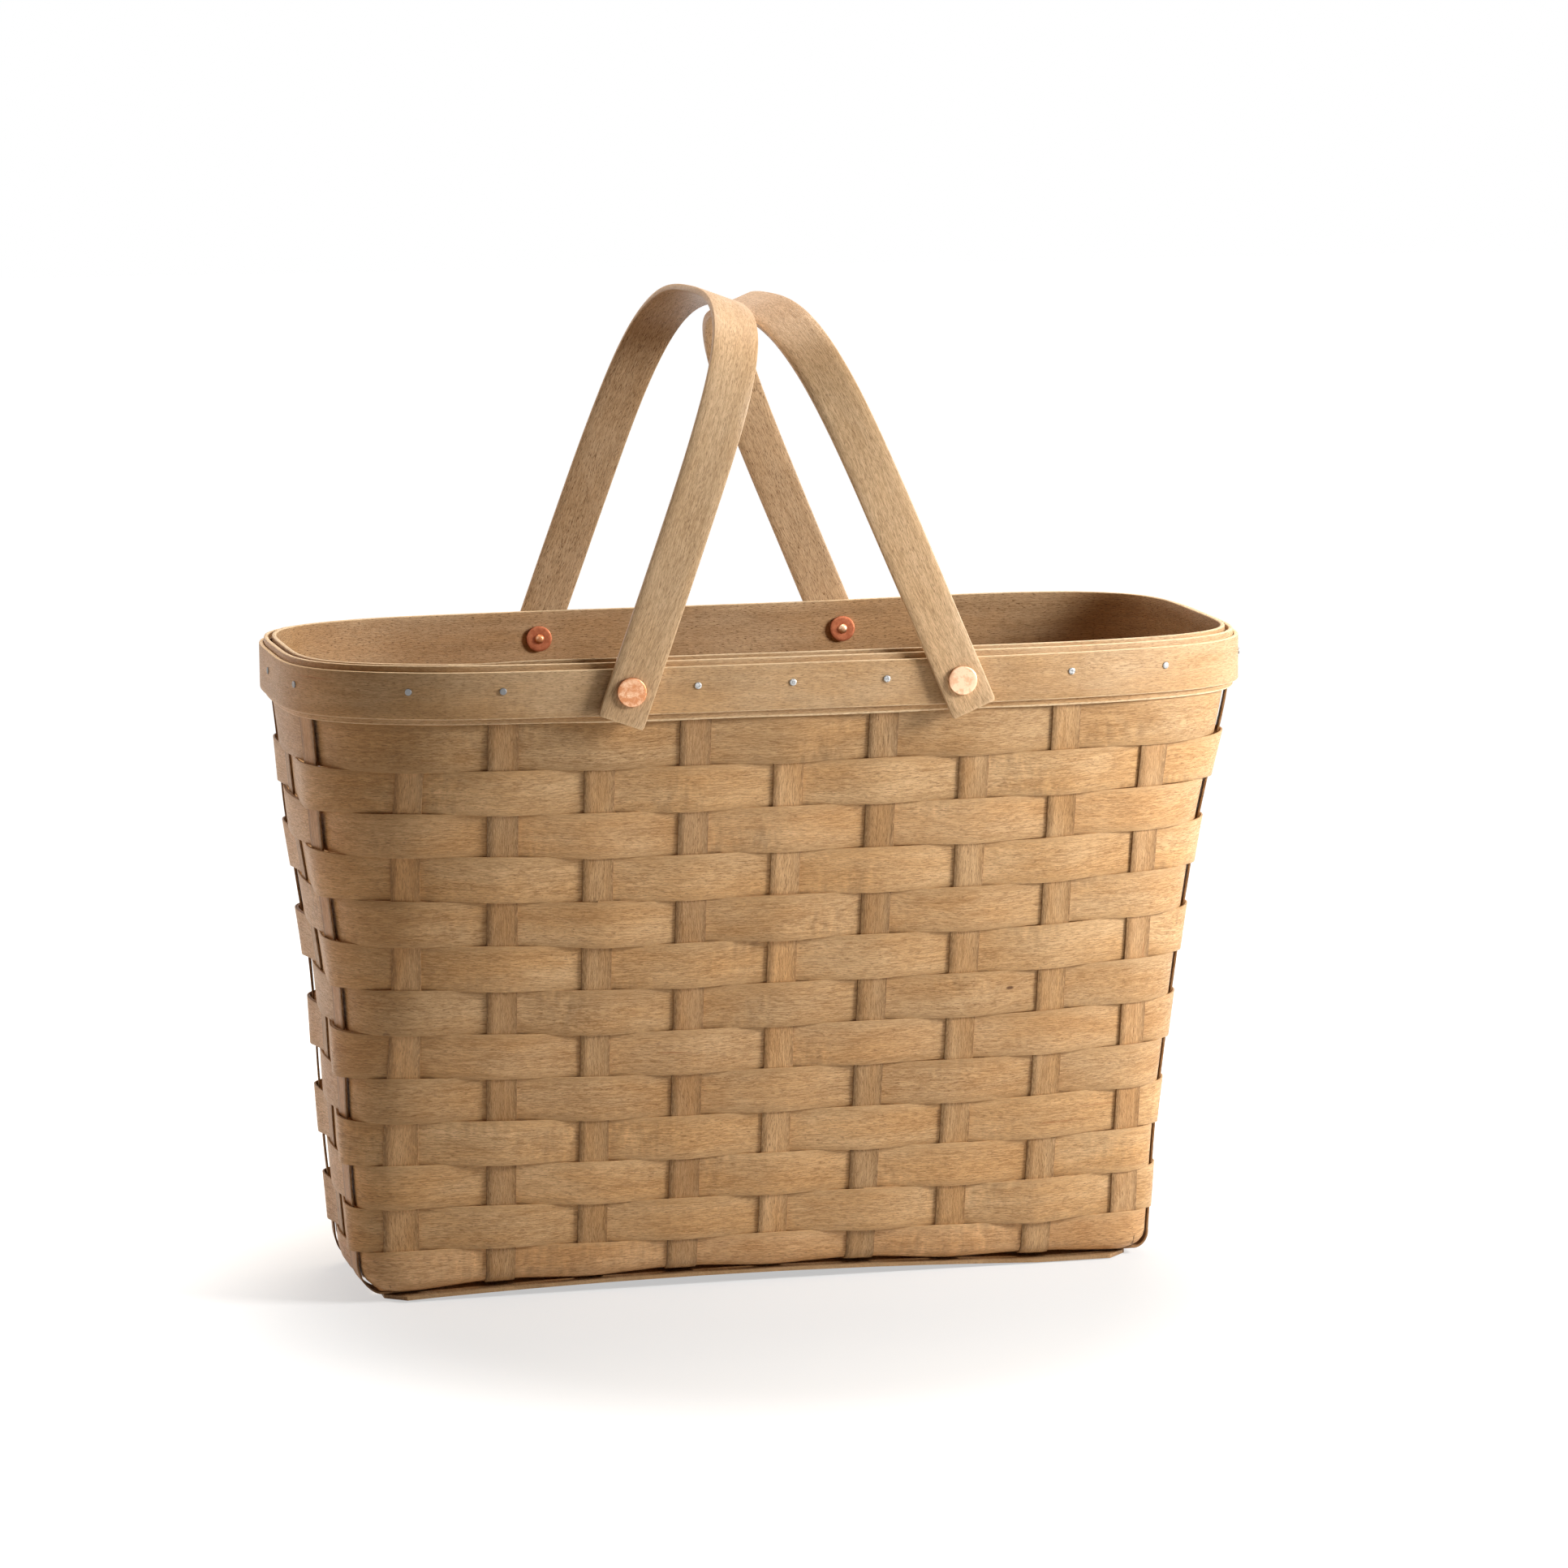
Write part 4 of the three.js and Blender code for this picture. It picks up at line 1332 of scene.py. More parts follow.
@dataclass
class Stakes:
    """The upright splints: cross stakes from front to back and lengthwise ones from end to end."""

    shop: Workshop
    wall: WovenWall
    top_inset: float = 2.0
    play: float = 0.05
    play_zone: float = 15.0
    rim_zone: float = 6.0
    pressed: float = 0.2
    edge: float = 0.12
    flattening: float = 0.15
    breadth: Sway = Sway(0.02, 500, (2, 5, 9))
    breadth_spread: float = 0.012
    greyness: float = 0.05
    tone_seed: int = 60
    grain_seed: int = 700

    def build(self) -> None:
        """Builds every stake."""
        form = self.shop.form
        for i in range(form.across_count):
            back = 2 * form.across_count + form.end_count - 1 - i
            self.stake("cross_stake", i, i, back)
        for j in range(form.end_count):
            self.stake("length_stake", j, form.line_count - 1 - j, form.across_count + j)

    def wall_run(self, line: Line, order: int, lift: float) -> tuple[Array, Array, Array]:
        """Middle line of a stake down one wall and round the heel.

        The outward directions turn square to the wall's side round the heel, so that the strip
        lies flat under the basket. The stake gives way a little to the rows, by a cosine.

        Args:
            line: The stake's line.
            order: Its number round the basket, which sets the rows that pass outside it.
            lift: How far the stake lies above its plain course at the heel's end.

        Returns:
            Points, directions across the strip and outward normals, one for each level.
        """
        form = self.shop.form
        levels = np.concatenate([
            np.linspace(form.rim_top - self.top_inset, form.heel_top, 150),
            np.linspace(form.heel_top, form.heel_end, 14)[1:],
        ])
        height, _, turn = form.station(levels)
        square = np.array([0.0, line.side, 0.0] if line.across else [line.side, 0.0, 0.0])
        out = form.outward(*form.ratios(line, levels), *form.outline(height))
        across = sideways(unit(blend(out, square, turn[:, None])))
        above, below = levels + PROBE, np.maximum(levels - PROBE, form.heel_end)
        normal = unit(np.cross(across, unit(form.on_line(line, above) - form.on_line(line, below))))
        rows = (self.wall.rows_top - levels) / self.wall.pitch - 0.5
        play = -self.play * np.cos(np.pi * (rows + order))
        play = play * swell((form.heel_top, form.heel_top + self.play_zone),
                            (form.wall_top - self.rim_zone, form.wall_top), levels)
        return form.on_line(line, levels) + normal * (play - lift * turn)[:, None], across, normal

    def floor_run(self, begin: Array, end: Array, across: bool, number: int) -> Array:
        """Middle line of a stake under the basket.

        A cross stake runs straight. A lengthwise one rises and falls by a flat-topped wave, over
        one cross stake and under the next.

        Args:
            begin: Where the first wall's run ends.
            end: Where the other wall's run ends.
            across: Whether it is a cross stake.
            number: The stake's number among its kind.

        Returns:
            Points between the two.
        """
        form = self.shop.form
        middle = blend(begin, end, np.linspace(0, 1, 40 if across else 200)[1:-1, None])
        if not across:
            place = middle[:, 0] / form.stake_pitch + form.outer_step + number
            turn = np.cos(np.pi * np.clip(place, number, number + form.across_count - 1))
            wave = turn * (1 + self.flattening - self.flattening * turn**2)
            middle[:, 2] = form.floor_level - form.crossing_lift * wave
        return middle

    def stake(self, kind: str, number: int, down: int, up: int) -> Object:
        """Builds one stake: down a wall, under the basket and up the other wall.

        Args:
            kind: What its solid's name begins with.
            number: Its number among its kind.
            down: Number of the line that it comes down.
            up: Number of the line that it goes up.

        Returns:
            The stake.
        """
        form = self.shop.form
        lines = form.lines()
        across = lines[down].across
        lift = 0.0 if across else form.crossing_lift * (-1 if number % 2 == 0 else 1)
        first, final = (self.wall_run(lines[order], order, lift) for order in (down, up))
        middle = self.floor_run(first[0][-1], final[0][-1], across, number)
        points = np.concatenate([first[0], middle, final[0][::-1]])
        side = np.concatenate([first[1], np.tile(first[1][-1], (len(middle), 1)), -final[1][::-1]])
        normal = np.concatenate([first[2], np.tile([0.0, 0.0, -1.0], (len(middle), 1)), final[2][::-1]])
        arc = arc_length(points)
        section = Section(form.stake_width, form.stake_thickness - self.pressed, self.edge).loop()
        widen = 1 + self.breadth.along(arc, arc[-1], down)
        widen = widen + np.random.default_rng(down).normal(0, self.breadth_spread)
        breadth = section[:, 0] * widen[:, None]
        rings = points[:, None] + side[:, None] * breadth[..., None] + normal[:, None] * section[:, 1, None]
        tone = Tone.drawn(self.tone_seed + down, grey=self.greyness)
        piece = MeshMaker.strip(f"{kind}_splint_{number + 1}", form.handwork.settle(rings),
                                MeshMaker.places(arc, section), tone, self.grain_seed + down)
        return self.shop.finish(piece, STAKE, Body.BASKET, f"{kind}_{number + 1}")


# The rim


@dataclass(frozen=True)
class Band:
    """One rim band.

    Low and high are the heights of its edges, the offset is its middle's distance from the wall,
    and it starts at a line number. Its last end lies outside its first where the lap is 1 and
    inside where it is -1. The climb is how much higher the first end's upper edge is.
    """

    name: str
    low: float
    high: float
    offset: float
    start: float
    lap: int
    climb: float
    seed: int


@dataclass
class Rim:
    """Three bands round the stake tops, with the nails that hold them."""

    shop: Workshop
    narrow_height: float = 20.2
    inner_over: float = 0.2
    inner_climb: float = 1.5
    edge: float = 0.55
    reach_beyond: float = 3.0
    samples: int = 700
    lap_turns: float = 0.06
    lap_blend: Zone = (0.02, 0.004)
    lap_thinning: float = 0.5
    corner_share: float = 0.04
    greyness: float = 0.08
    out_sway: Sway = Sway(0.12, 0, (3, 7, 12, 19))
    up_sway: Sway = Sway(0.16, 5, (2, 5, 11))
    grain_seed: int = 60
    nail_drop: float = 10.9
    head_radius: float = 1.5
    head_thickness: float = 0.6
    head_flat: float = 0.45
    head_middle: float = 0.93
    head_gap: float = 0.05
    shank_radius: float = 0.7
    point_length: float = 0.5
    point_depth: float = 0.6
    pivot_step: int = 2
    # Nails towards the left are darkened and roughened: painted shade
    left_nail_shade: float = 0.9
    left_nail_shade_zone: Zone = (80.0, 120.0)

    def build(self) -> None:
        """Builds the bands, from the inside out, and the nails."""
        form = self.shop.form
        low, high = form.wall_top, form.rim_top
        step = (form.band_height - self.narrow_height) / 2
        for band in (
            Band("inner", low, high + self.inner_over, -form.wide_offset, 0.45, -1, self.inner_climb, 11),
            Band("wide", low, high, form.wide_offset, 19.3, 1, 0.0, 12),
            Band("narrow", low + step, high - step, form.narrow_offset, 14.3, 1, 0.0, 13),
        ):
            self.band(band)
        self.nails()

    def band(self, band: Band) -> Object:
        """Builds one band whose ends lap.

        The band keeps its offset from the wall. Over the lap its last end climbs out of the way of
        its first end, thinned as a craftsman scarfs it. Its upper edge falls by the climb on the way
        round, which shows as a small step where the band starts.

        Args:
            band: Its place and size.

        Returns:
            The band.
        """
        form = self.shop.form
        height = band.high - band.low
        turns = 1 + self.lap_turns
        hoop = Hoop(form, (band.low + band.high) / 2, height / 2 + self.reach_beyond, self.samples)
        arc, _, lower, upper = hoop.track(band.start, turns)
        share, lap_share = arc / arc[-1], self.lap_turns / turns
        section = Section(height, form.band_thickness, self.edge, 6).loop()
        before, after = self.lap_blend
        final = ease(1 - lap_share - before, 1 - lap_share + after, share)
        first = 1 - ease(lap_share - after, lap_share + before, share)
        thin = 1 - self.lap_thinning * first - self.lap_thinning * final
        shift = band.lap * self.lap_thinning / 2 * form.band_thickness * (final - first)
        out = band.offset + shift[:, None] + section[:, 1] * thin[:, None]
        out = out + self.out_sway.along(arc, arc[-1], band.seed)[:, None]
        raised = band.climb * (1 - share)
        across = section[:, 0] * (1 + raised / height)[:, None] + (raised / 2)[:, None]
        across = across + self.up_sway.along(arc, arc[-1], band.seed)[:, None]
        corner = band.climb * ease(1 - self.corner_share, 1, 1 - share)
        across = np.where(section[:, 0] > 0, across - corner[:, None], across)
        piece = MeshMaker.strip(f"rim_{band.name}_splint", hoop.rings(lower, upper, across, out),
                                MeshMaker.places(arc, section), Tone.drawn(band.seed, grey=self.greyness),
                                self.grain_seed + band.seed)
        return self.shop.finish(piece, RIM, Body.BASKET, f"rim_{band.name}_band")

    def nails(self) -> None:
        """Builds a nail at each stake end that has no handle rivet. Those at the left are darker and rougher,
        the darkness a painted shade.
        """
        form = self.shop.form
        height = form.rim_top - self.nail_drop
        held = [line for line in form.lines() if not (line.across and abs(line.step) == self.pivot_step)]
        for number, line in enumerate(held, 1):
            point, normal = form.wall(np.array([form.bearing(line, height)]), np.array([height]))
            # Painted shade: nails towards the left are darker
            polish_and_painted_light = -self.left_nail_shade * float(ease(*self.left_nail_shade_zone, -point[0, 0]))
            self.nail(number, form.handwork.settle(point)[0], normal[0], polish_and_painted_light)

    def nail(self, number: int, place: Array, axis: Array, polish_and_painted_light: float) -> Object:
        """Builds one nail: a low domed head, a shank and a point that ends in the inner band.

        Args:
            number: The nail's number round the rim.
            place: Where its axis crosses the wall's middle surface.
            axis: The wall's outward normal there.
            polish_and_painted_light: How much brighter than usual it is; a painted shade where it is below
                zero.

        Returns:
            The nail.
        """
        form = self.shop.form
        head = form.rim_outer + self.head_gap
        inside = -(form.stake_thickness / 2 + form.clearance + self.point_depth * form.band_thickness)
        r, t, shank = self.head_radius, self.head_thickness, self.shank_radius
        around = np.linspace(0, np.pi / 2, 6)
        dome = [self.head_flat + (1 - self.head_flat) * turn(around) for turn in (np.cos, np.sin)]
        profile = np.concatenate([
            [[AXIS_RADIUS, inside - self.point_length], [shank, inside], [shank, head], [r, head]],
            np.stack([r * dome[0], head + t * dome[1]], -1), [[AXIS_RADIUS, head + t * self.head_middle]],
        ])
        piece = MeshMaker.turned(f"nail_{number:02d}", profile, 20, place, axis, polish_and_painted_light)
        return self.shop.finish(piece, NAIL_METAL, Body.BASKET, f"rim_nail_{number}")


# The base board


@dataclass
class BaseBoard:
    """The thin board under the basket, its grain running from front to back."""

    shop: Workshop
    half_length: float = 172.0
    half_depth: float = 45.0
    clip: float = 9.0
    worn: float = 0.3
    end_draw: float = 3.4
    end_draw_zone: Zone = (60.0, 172.0)
    edge_shares: Zone = (0.3, 0.9)
    edge_zone: Zone = (44.0, 44.9)
    unevenness: Sway = Sway(0.12, 77, (3, 9, 17, 31))

    def build(self) -> Object:
        """Builds the board: its clipped outline, swept through a section with worn edges.

        The half depth at a place along the board is the half depth, less a straight cut of 45
        degrees over the clip at each end. Both faces are grids between the two long edges.

        Returns:
            The board.
        """
        form = self.shop.form
        half, plain = self.half_length, self.half_length - self.clip
        along = np.concatenate([np.linspace(-half, -plain, 8)[:-1], np.linspace(-plain, plain, 240),
                                np.linspace(plain, half, 8)[1:]])
        deep = self.half_depth - np.clip(np.abs(along) - plain, 0, None)
        deep = deep + self.unevenness.along(along, 2 * half)
        section = Section(2, form.board_thickness, self.worn, 24).loop()
        side, rise = np.clip(section[:, 0], -0.999, 0.999), section[:, 1]
        corner = np.clip(np.abs(rise) - (form.board_thickness / 2 - self.worn), 0, None) / self.worn
        inset = self.worn * (1 - np.sqrt(np.clip(1 - corner**2, 0, 1)))
        y = np.sign(side) * (np.abs(side) * deep[:, None] - inset * (np.abs(side) > 0.6))
        x = along[:, None] - self.end_draw * ease(*self.end_draw_zone, along)[:, None] + 0 * y
        rings = form.handwork.settle(np.stack([x, y, form.board_thickness / 2 + rise + 0 * y], -1))
        rings[..., 2] -= rings[..., 2].min()
        local = np.stack([y, x, rise + 0 * y], -1)
        piece = MeshMaker.strip("base_board_wood", rings, local, Tone.drawn(3, light=-0.02, grey=0.06), 5)
        edge = ease(*self.edge_shares, np.abs(section[:, 0])) * ease(*self.edge_zone, np.abs(y))
        piece.data.attributes["edge_tone_and_painted_light"].data.foreach_set("value", edge.astype(np.float32).ravel())
        return self.shop.finish(piece, BOARD, Body.BASKET, "base_board")


# The handles


@dataclass
class SwingHandle:
    """A bent strap on two rivets, with the burrs inside the rim.

    The side is -1 at the left and 1 at the right.
    """

    shop: Workshop
    side: int
    right_height: float = 171.5
    left_height: float = 173.0
    width: float = 20.6
    thickness: float = 3.0
    edge: float = 0.75
    tail: float = 14.0
    side_gap: float = 0.6
    left_tilt: float = math.radians(20.1)
    pivot_drop: float = 12.3
    pivot_pitch_share: float = 1.75
    height_power: float = 0.329
    width_power: float = 0.701
    draw_in_share: float = 0.041
    leg_share: float = 0.78
    path_steps: int = 420
    smoothing: int = 6
    end_narrowing: float = 0.05
    end_zone: float = 1.2
    breadth: Sway = Sway(0.012, 30, (2, 5, 9))
    right_lightness: float = 0.14
    # The right rivets are brighter and smoother, the left ones darker: painted highlight and painted shade
    right_polish_and_highlight: float = 0.45
    left_polish_and_shade: float = -0.22
    head_radius: float = 6.35
    head_thickness: float = 1.7
    head_gap: float = 0.05
    head_round: float = 0.75
    head_crown: float = 0.12
    shank_radius: float = 1.6
    end_length: float = 1.6
    peened: tuple[tuple[float, float], ...] = ((AXIS_RADIUS, 1.0), (0.9, 1.0), (1.5, 0.9), (2.0, 0.55))
    head_bevel: float = 0.2
    end_radius: float = 2.3
    end_rim: Zone = (0.15, 0.02)
    face_shares: tuple[float, ...] = (0.8, 0.6, 0.4, 0.2, 0.02)
    burr_radius: float = 5.95
    burr_thickness: float = 1.5
    burr_sunk: float = 0.3
    burr_overrun: float = 0.2
    burr_play: float = 0.1
    burr_hole_wear: tuple[tuple[float, float], ...] = ((0.0, 0.12), (0.4, 0.02))
    burr_face_shares: tuple[float, ...] = (0.5, 0.8)
    burr_edge_wear: tuple[tuple[float, float], ...] = ((0.32, 0.01), (0.08, 0.12), (0.0, 0.34))
    burr_bevel: float = 0.2
    grain_seed: int = 20

    @property
    def name(self) -> str:
        """left or right."""
        return "left" if self.side < 0 else "right"

    @property
    def height(self) -> float:
        """From the pivot up to the top of the strap's middle line."""
        return self.left_height if self.side < 0 else self.right_height

    @property
    def half_pitch(self) -> float:
        """From the basket's middle to the pivot, along the basket."""
        return self.pivot_pitch_share * self.shop.form.stake_pitch

    @property
    def pivot_height(self) -> float:
        """Height of the pivot."""
        return self.shop.form.rim_top - self.pivot_drop

    @property
    def strap_face(self) -> float:
        """Distance of the strap's inner face from the basket's middle, across it."""
        return self.shop.form.rim_half_depth + self.side_gap

    def tilt(self) -> float:
        """Lean of the strap on its pivots.

        Returns:
            Radians: the left one's own, and for the right one until its edge meets the left one.
        """
        if self.side < 0:
            return self.left_tilt
        half = self.width / 2
        meeting = self.left_height * math.sin(self.left_tilt) + half * math.cos(self.left_tilt)
        room = 2 * self.half_pitch - meeting - self.shop.form.clearance
        return -(math.asin(room / math.hypot(self.height, half)) - math.atan2(half, self.height))

    def path(self) -> Array:
        """The strap's middle line in its own plane, at even steps.

        Height is the full height times cos^p of a turn angle, and the distance across is the half
        spread times sin^q of it, drawn in a little towards the top. The legs run straight down
        past the pivots. A short window smooths the line.

        Returns:
            Pairs of distance across and height.
        """
        centre = self.strap_face + self.thickness / 2
        legs = np.arccos(np.linspace(0.002, self.leg_share, 90)[:-1] ** (1 / self.height_power))
        arch = np.linspace(math.acos(self.leg_share ** (1 / self.height_power)), 0, 90)
        angle = np.concatenate([legs, arch])
        part = np.cos(angle) ** self.height_power
        spread = np.sin(angle) ** self.width_power * (1 - self.draw_in_share * part)
        half = np.concatenate([[[centre, -self.tail]], np.stack([centre * spread, self.height * part], -1)])
        whole = np.concatenate([half, half[:-1][::-1] * [-1, 1]])
        arc = arc_length(whole)
        even = np.linspace(0, arc[-1], self.path_steps)
        smooth = np.stack([np.interp(even, arc, column) for column in whole.T], -1)
        kernel = np.hanning(2 * self.smoothing + 1)
        margin = (self.smoothing, self.smoothing)
        padded = np.pad(smooth, (margin, (0, 0)), mode="reflect", reflect_type="odd")
        return np.stack([np.convolve(column, kernel / kernel.sum(), "valid") for column in padded.T], -1)

    def strap(self) -> Object:
        """Builds the strap: the section with worn edges carried along the path, then leaned on its pivots.

        Returns:
            The strap.
        """
        path = self.path()
        run = unit(np.gradient(path, axis=0))
        section = Section(self.width, self.thickness, self.edge, 6).loop()
        arc = arc_length(path)
        narrow = 1 - self.end_narrowing * (1 - ease(0, self.end_zone, np.minimum(arc, arc[-1] - arc)))
        widen = (1 + self.breadth.along(arc, arc[-1], self.side)) * narrow
        x = section[:, 0] * widen[:, None]
        y = path[:, None, 0] + run[:, None, 1] * section[:, 1]
        z = path[:, None, 1] - run[:, None, 0] * section[:, 1]
        c, s = math.cos(self.tilt()), math.sin(self.tilt())
        x, z = x * c + z * s, z * c - x * s
        rings = np.stack([x + self.side * self.half_pitch, y, z + self.pivot_height], -1)
        tone = Tone(self.right_lightness if self.side > 0 else 0.0)
        piece = MeshMaker.strip(f"handle_strap_{self.name}", rings, MeshMaker.places(arc, section), tone,
                                self.grain_seed + self.side)
        return self.shop.finish(piece, HANDLE, Body(f"{self.name}_handle"), f"handle_{self.name}")

    def rim_inner_face(self) -> float:
        """Place of the rim's inner face at the burr's outer edge.

        Returns:
            Its distance from the basket's middle.
        """
        form = self.shop.form
        half_long, half_deep, power = form.outline(self.pivot_height)
        wall = form.across_at(self.half_pitch + self.burr_radius, half_long, half_deep, power)
        return float(wall) - (form.stake_thickness / 2 + form.clearance + form.band_thickness)

    def rivet_profile(self, burr_near: float) -> Array:
        """A rivet's profile, from its peened end over the shank to the crowned head.

        Args:
            burr_near: Where the burr's near face lies along the axis.

        Returns:
            Pairs of radius and place along the axis.
        """
        head = self.strap_face + self.thickness + self.head_gap
        r, t, soft = self.head_radius, self.head_thickness, self.head_round
        turn = np.linspace(0, np.pi / 2, 7)
        peened = [[radius, burr_near - share * self.end_length] for radius, share in self.peened]
        shank = [[self.end_radius, burr_near - gap] for gap in self.end_rim]
        shank += [[self.shank_radius, burr_near], [self.shank_radius, head]]
        shank += [[r - self.head_bevel, head], [r, head + self.head_bevel]]
        crown = np.stack([r - soft + soft * np.cos(turn), head + t - soft + soft * np.sin(turn)], -1)
        face = [[r * k, head + t + self.head_crown * (1 - k * k)] for k in self.face_shares]
        return np.concatenate([peened, shank, crown, face])

    def burr_profile(self, near: float, far: float) -> Array:
        """A burr's profile: a flat ring with a worn edge, closed over the shank.

        Args:
            near: Where its near face lies along the axis.
            far: Where its far face lies.

        Returns:
            Pairs of radius and place along the axis.
        """
        b, hole = self.burr_radius, self.shank_radius + self.burr_play
        inner = [[hole + aside, near + rise] for aside, rise in self.burr_hole_wear]
        face = [[b * share, near] for share in self.burr_face_shares]
        outer = [[b - aside, near + rise] for aside, rise in self.burr_edge_wear]
        back = [[b, far - self.burr_bevel], [b - self.burr_bevel, far], [hole, far], [AXIS_RADIUS, far]]
        return np.array([[AXIS_RADIUS, inner[0][1]], *inner, *face, *outer, *back])

    def rivet(self, way: int) -> None:
        """Builds one rivet and its burr.

        Args:
            way: -1 at the front of the basket, 1 at the back.
        """
        burr_face = self.rim_inner_face() - self.burr_sunk
        near, far = burr_face - self.burr_thickness, burr_face + self.burr_overrun
        place = np.array([self.side * self.half_pitch, 0.0, self.pivot_height])
        axis = np.array([0.0, way, 0.0])
        spot = f"{'front' if way < 0 else 'back'}_{self.name}"
        # Painted highlight on the right rivets, painted shade on the left ones
        polish_and_painted_light = self.right_polish_and_highlight if self.side > 0 else self.left_polish_and_shade
        for kind, profile, facets, bright, look in (
            ("rivet", self.rivet_profile(near), 56, polish_and_painted_light, COPPER),
            ("burr", self.burr_profile(near, far), 48, 0.0, DULL_COPPER),
        ):
            piece = MeshMaker.turned(f"copper_{kind}_{spot}", profile, facets, place, axis, bright)
            self.shop.finish(piece, look, Body.BASKET, f"{kind}_{spot}")

    def build(self) -> None:
        """Builds the strap and both rivets."""
        self.strap()
        self.rivet(-1)
        self.rivet(1)


# The studio


@dataclass(frozen=True)
class Lamp:
    """A soft square lamp: its place, what it faces and its side in metres, its watts and its light."""

    name: str
    place: tuple[float, float, float]
    target: tuple[float, float, float]
    size: float
    power: float
    colour: Colour

    def hang(self) -> Object:
        """Hangs the lamp.

        Returns:
            The lamp.
        """
        data = bpy.data.lights.new(self.name, "AREA")
        data.shape = "SQUARE"
        data.size = self.size
        data.energy = self.power
        data.color = self.colour
        lamp = bpy.data.objects.new(self.name, data)
        back = unit(np.array(self.place) - np.array(self.target))
        side = unit(np.cross([0.0, 0.0, 1.0], back))
        lamp.matrix_world = placed(side, np.cross(back, side), back, np.array(self.place))
        bpy.context.scene.collection.objects.link(lamp)
        return lamp


LAMPS = (
    Lamp("key_lamp", (0.94, -0.54, 0.62), (0.0, -0.05, 0.18), 0.36, 17.9, (1.0, 0.99, 0.97)),
    Lamp("top_lamp", (0.15, 0.32, 1.25), (0.0, 0.0, 0.2), 0.75, 12.0, (1.0, 0.84, 0.67)),
    Lamp("end_lamp", (-1.3, 0.25, 0.45), (-0.1, 0.0, 0.15), 0.6, 2.3, (1.0, 0.64, 0.40)),
    Lamp("back_lamp", (-1.1, 0.75, 0.55), (-0.1, 0.0, 0.15), 0.6, 1.8, (1.0, 0.82, 0.66)),
)


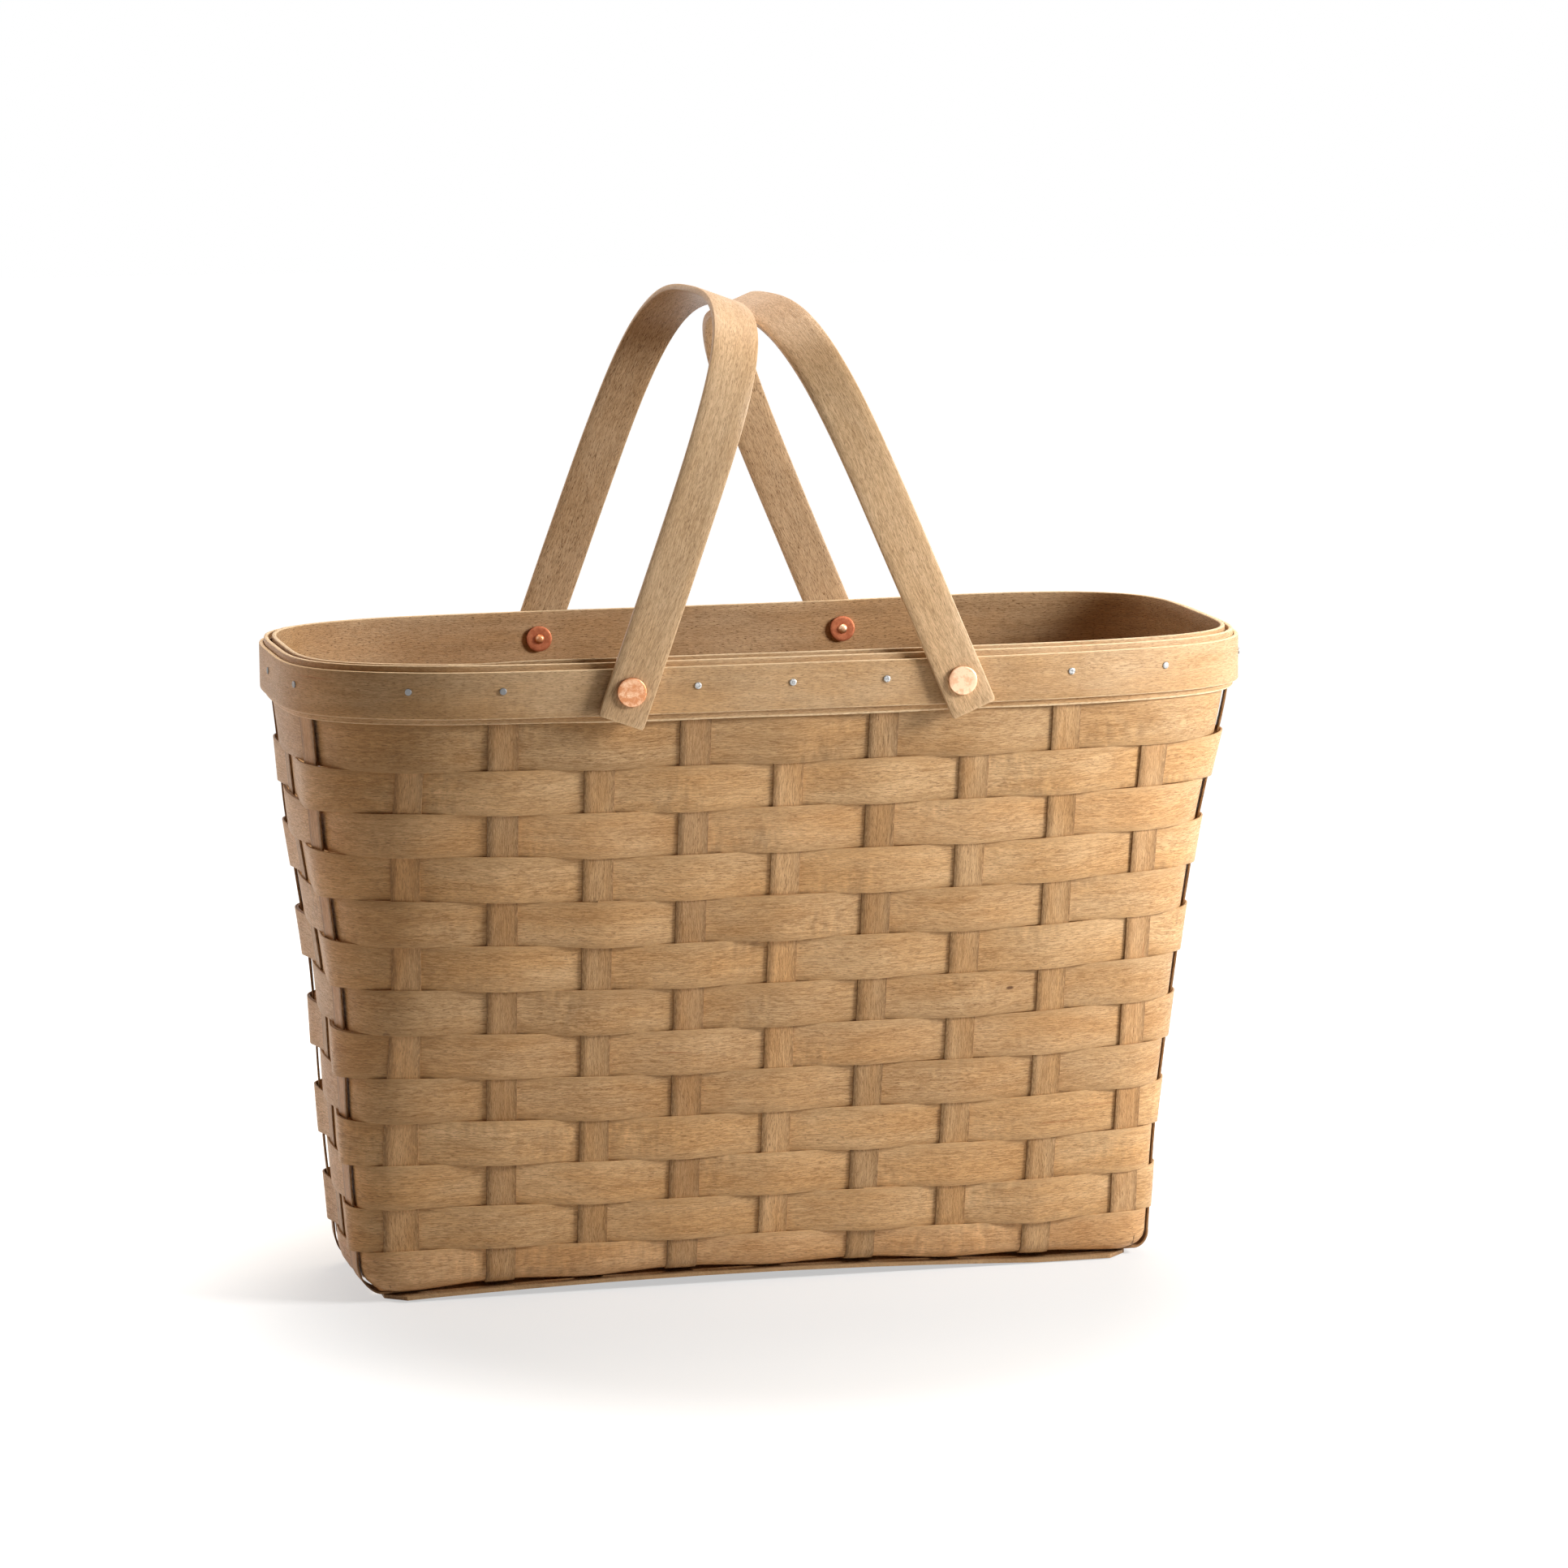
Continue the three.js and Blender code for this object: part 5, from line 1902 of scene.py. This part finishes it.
@dataclass
class Studio:
    """Floor, lamps, backdrop and camera. The floor's sizes are in metres."""

    camera_place: tuple[float, float, float] = (-498.459, -2250.205, 536.103)
    yaw: float = math.radians(12.975)
    pitch: float = math.radians(-7.848)
    roll: float = math.radians(-0.536)
    focal_pixels: float = 6354.08
    picture_side: float = 1932.0
    sensor: float = 36.0
    clip: Zone = (0.05, 60.0)
    paper: Colour = (0.80, 0.795, 0.785)
    shown_paper: Colour = (0.42, 0.425, 0.43)
    air: Colour = (1.0, 0.84, 0.66)
    air_strength: float = 0.012
    floor_half: float = 12.0
    # The glow is painted light: an emission seen by the camera, weaker near the basket, so that it paints
    # shade round the foot
    floor_drop: float = 0.0002
    glow_middle: float = -0.06
    glow_reach: tuple[float, float] = (0.27, 0.30)
    glow_zone: Zone = (0.55, 1.2)
    glow_near: float = 0.52
    glow_gain: float = 0.50

    def floor(self) -> Object:
        """Makes a pale floor that is white to the camera and keeps the object's shadow.

        The camera sees a darker paper with a glow added, which grows with the distance from the object,
        measured as the length of the place over the reach. The glow is painted light, and where it is weaker
        near the object it paints shade round it.

        Returns:
            The floor.
        """
        mesh = bpy.data.meshes.new("studio_floor")
        corners = ((-1, -1), (1, -1), (1, 1), (-1, 1))
        points = [(x * self.floor_half, y * self.floor_half, -self.floor_drop) for x, y in corners]
        mesh.from_pydata(points, [], [(0, 1, 2, 3)])
        floor = bpy.data.objects.new("studio_floor", mesh)
        bpy.context.scene.collection.objects.link(floor)
        material = bpy.data.materials.new("Studio paper")
        graph = Graph.of(material)
        paper, shown = (graph.node("ShaderNodeBsdfDiffuse", {"Color": colour})
                        for colour in (self.paper, self.shown_paper))
        where = graph.node("ShaderNodeTexCoord").outputs["Object"]
        place = graph.vector("ADD", where, (0, -self.glow_middle, 0)).outputs[0]
        nearness = (1 / self.glow_reach[0], 1 / self.glow_reach[1], 0)
        away = graph.vector("LENGTH", graph.scaled(place, nearness)).outputs["Value"]
        # Painted shade: the glow is weaker near the basket and grows away from it
        rise = graph.step(away, *self.glow_zone)
        strength = graph.plus(graph.times(rise, self.glow_gain), self.glow_near)
        glow = graph.node("ShaderNodeEmission", {"Strength": strength})
        both = graph.node("ShaderNodeAddShader", {0: shown.outputs[0], 1: glow.outputs[0]})
        graph.node("ShaderNodeOutputMaterial", {0: graph.switch(self.seen(graph), paper, both)})
        mesh.materials.append(material)
        return floor

    @staticmethod
    def seen(graph: Graph) -> Socket:
        """Tells the rays that show a surface from those that light it.

        Args:
            graph: Where the nodes go.

        Returns:
            A value of 1 for rays that come from the camera, a reflection or a transmission.
        """
        path = graph.node("ShaderNodeLightPath").outputs
        either = graph.maths("MAXIMUM", path["Is Camera Ray"], path["Is Glossy Ray"])
        return graph.maths("MAXIMUM", either, path["Is Transmission Ray"])

    def backdrop(self) -> None:
        """Lights the scene evenly from all round, and shows white behind it."""
        world = bpy.data.worlds.new("Studio air")
        bpy.context.scene.world = world
        graph = Graph.of(world)
        air = graph.node("ShaderNodeBackground", {"Color": self.air, "Strength": self.air_strength})
        white = graph.node("ShaderNodeBackground", {"Color": (1, 1, 1)})
        graph.node("ShaderNodeOutputWorld", {0: graph.switch(self.seen(graph), air, white)})

    def camera(self) -> Object:
        """Sets the camera where the photograph was taken from.

        Its axes follow from the yaw, pitch and roll: forward first, then right and up turned by the
        roll. The lens is the focal length in pixels times the sensor's width over the picture's side.

        Returns:
            The camera.
        """
        level = math.cos(self.pitch)
        forward = np.array([math.sin(self.yaw) * level, math.cos(self.yaw) * level, math.sin(self.pitch)])
        right = np.array([math.cos(self.yaw), -math.sin(self.yaw), 0.0])
        up = np.cross(right, forward)
        c, s = math.cos(self.roll), math.sin(self.roll)
        right, up = c * right + s * up, -s * right + c * up
        data = bpy.data.cameras.new("photo_camera")
        data.sensor_fit = "HORIZONTAL"
        data.sensor_width = self.sensor
        data.lens = self.focal_pixels * self.sensor / self.picture_side
        data.clip_start, data.clip_end = self.clip
        camera = bpy.data.objects.new("photo_camera", data)
        camera.matrix_world = placed(right, up, -forward, np.array(self.camera_place) * METRE)
        bpy.context.scene.collection.objects.link(camera)
        bpy.context.scene.camera = camera
        return camera

    def build(self) -> None:
        """Sets up the whole studio."""
        bpy.context.scene.view_settings.view_transform = "Standard"
        self.floor()
        self.backdrop()
        for lamp in LAMPS:
            lamp.hang()
        self.camera()


def main() -> None:
    """Builds the studio and every sub-assembly in order."""
    logging.basicConfig(level=logging.INFO, format="%(name)s: %(message)s")
    Studio().build()
    shop = Workshop()
    wall = WovenWall(shop)
    BaseBoard(shop).build()
    Stakes(shop, wall).build()
    wall.build()
    Rim(shop).build()
    for side in (-1, 1):
        SwingHandle(shop, side).build()


if __name__ == "__main__":
    main()
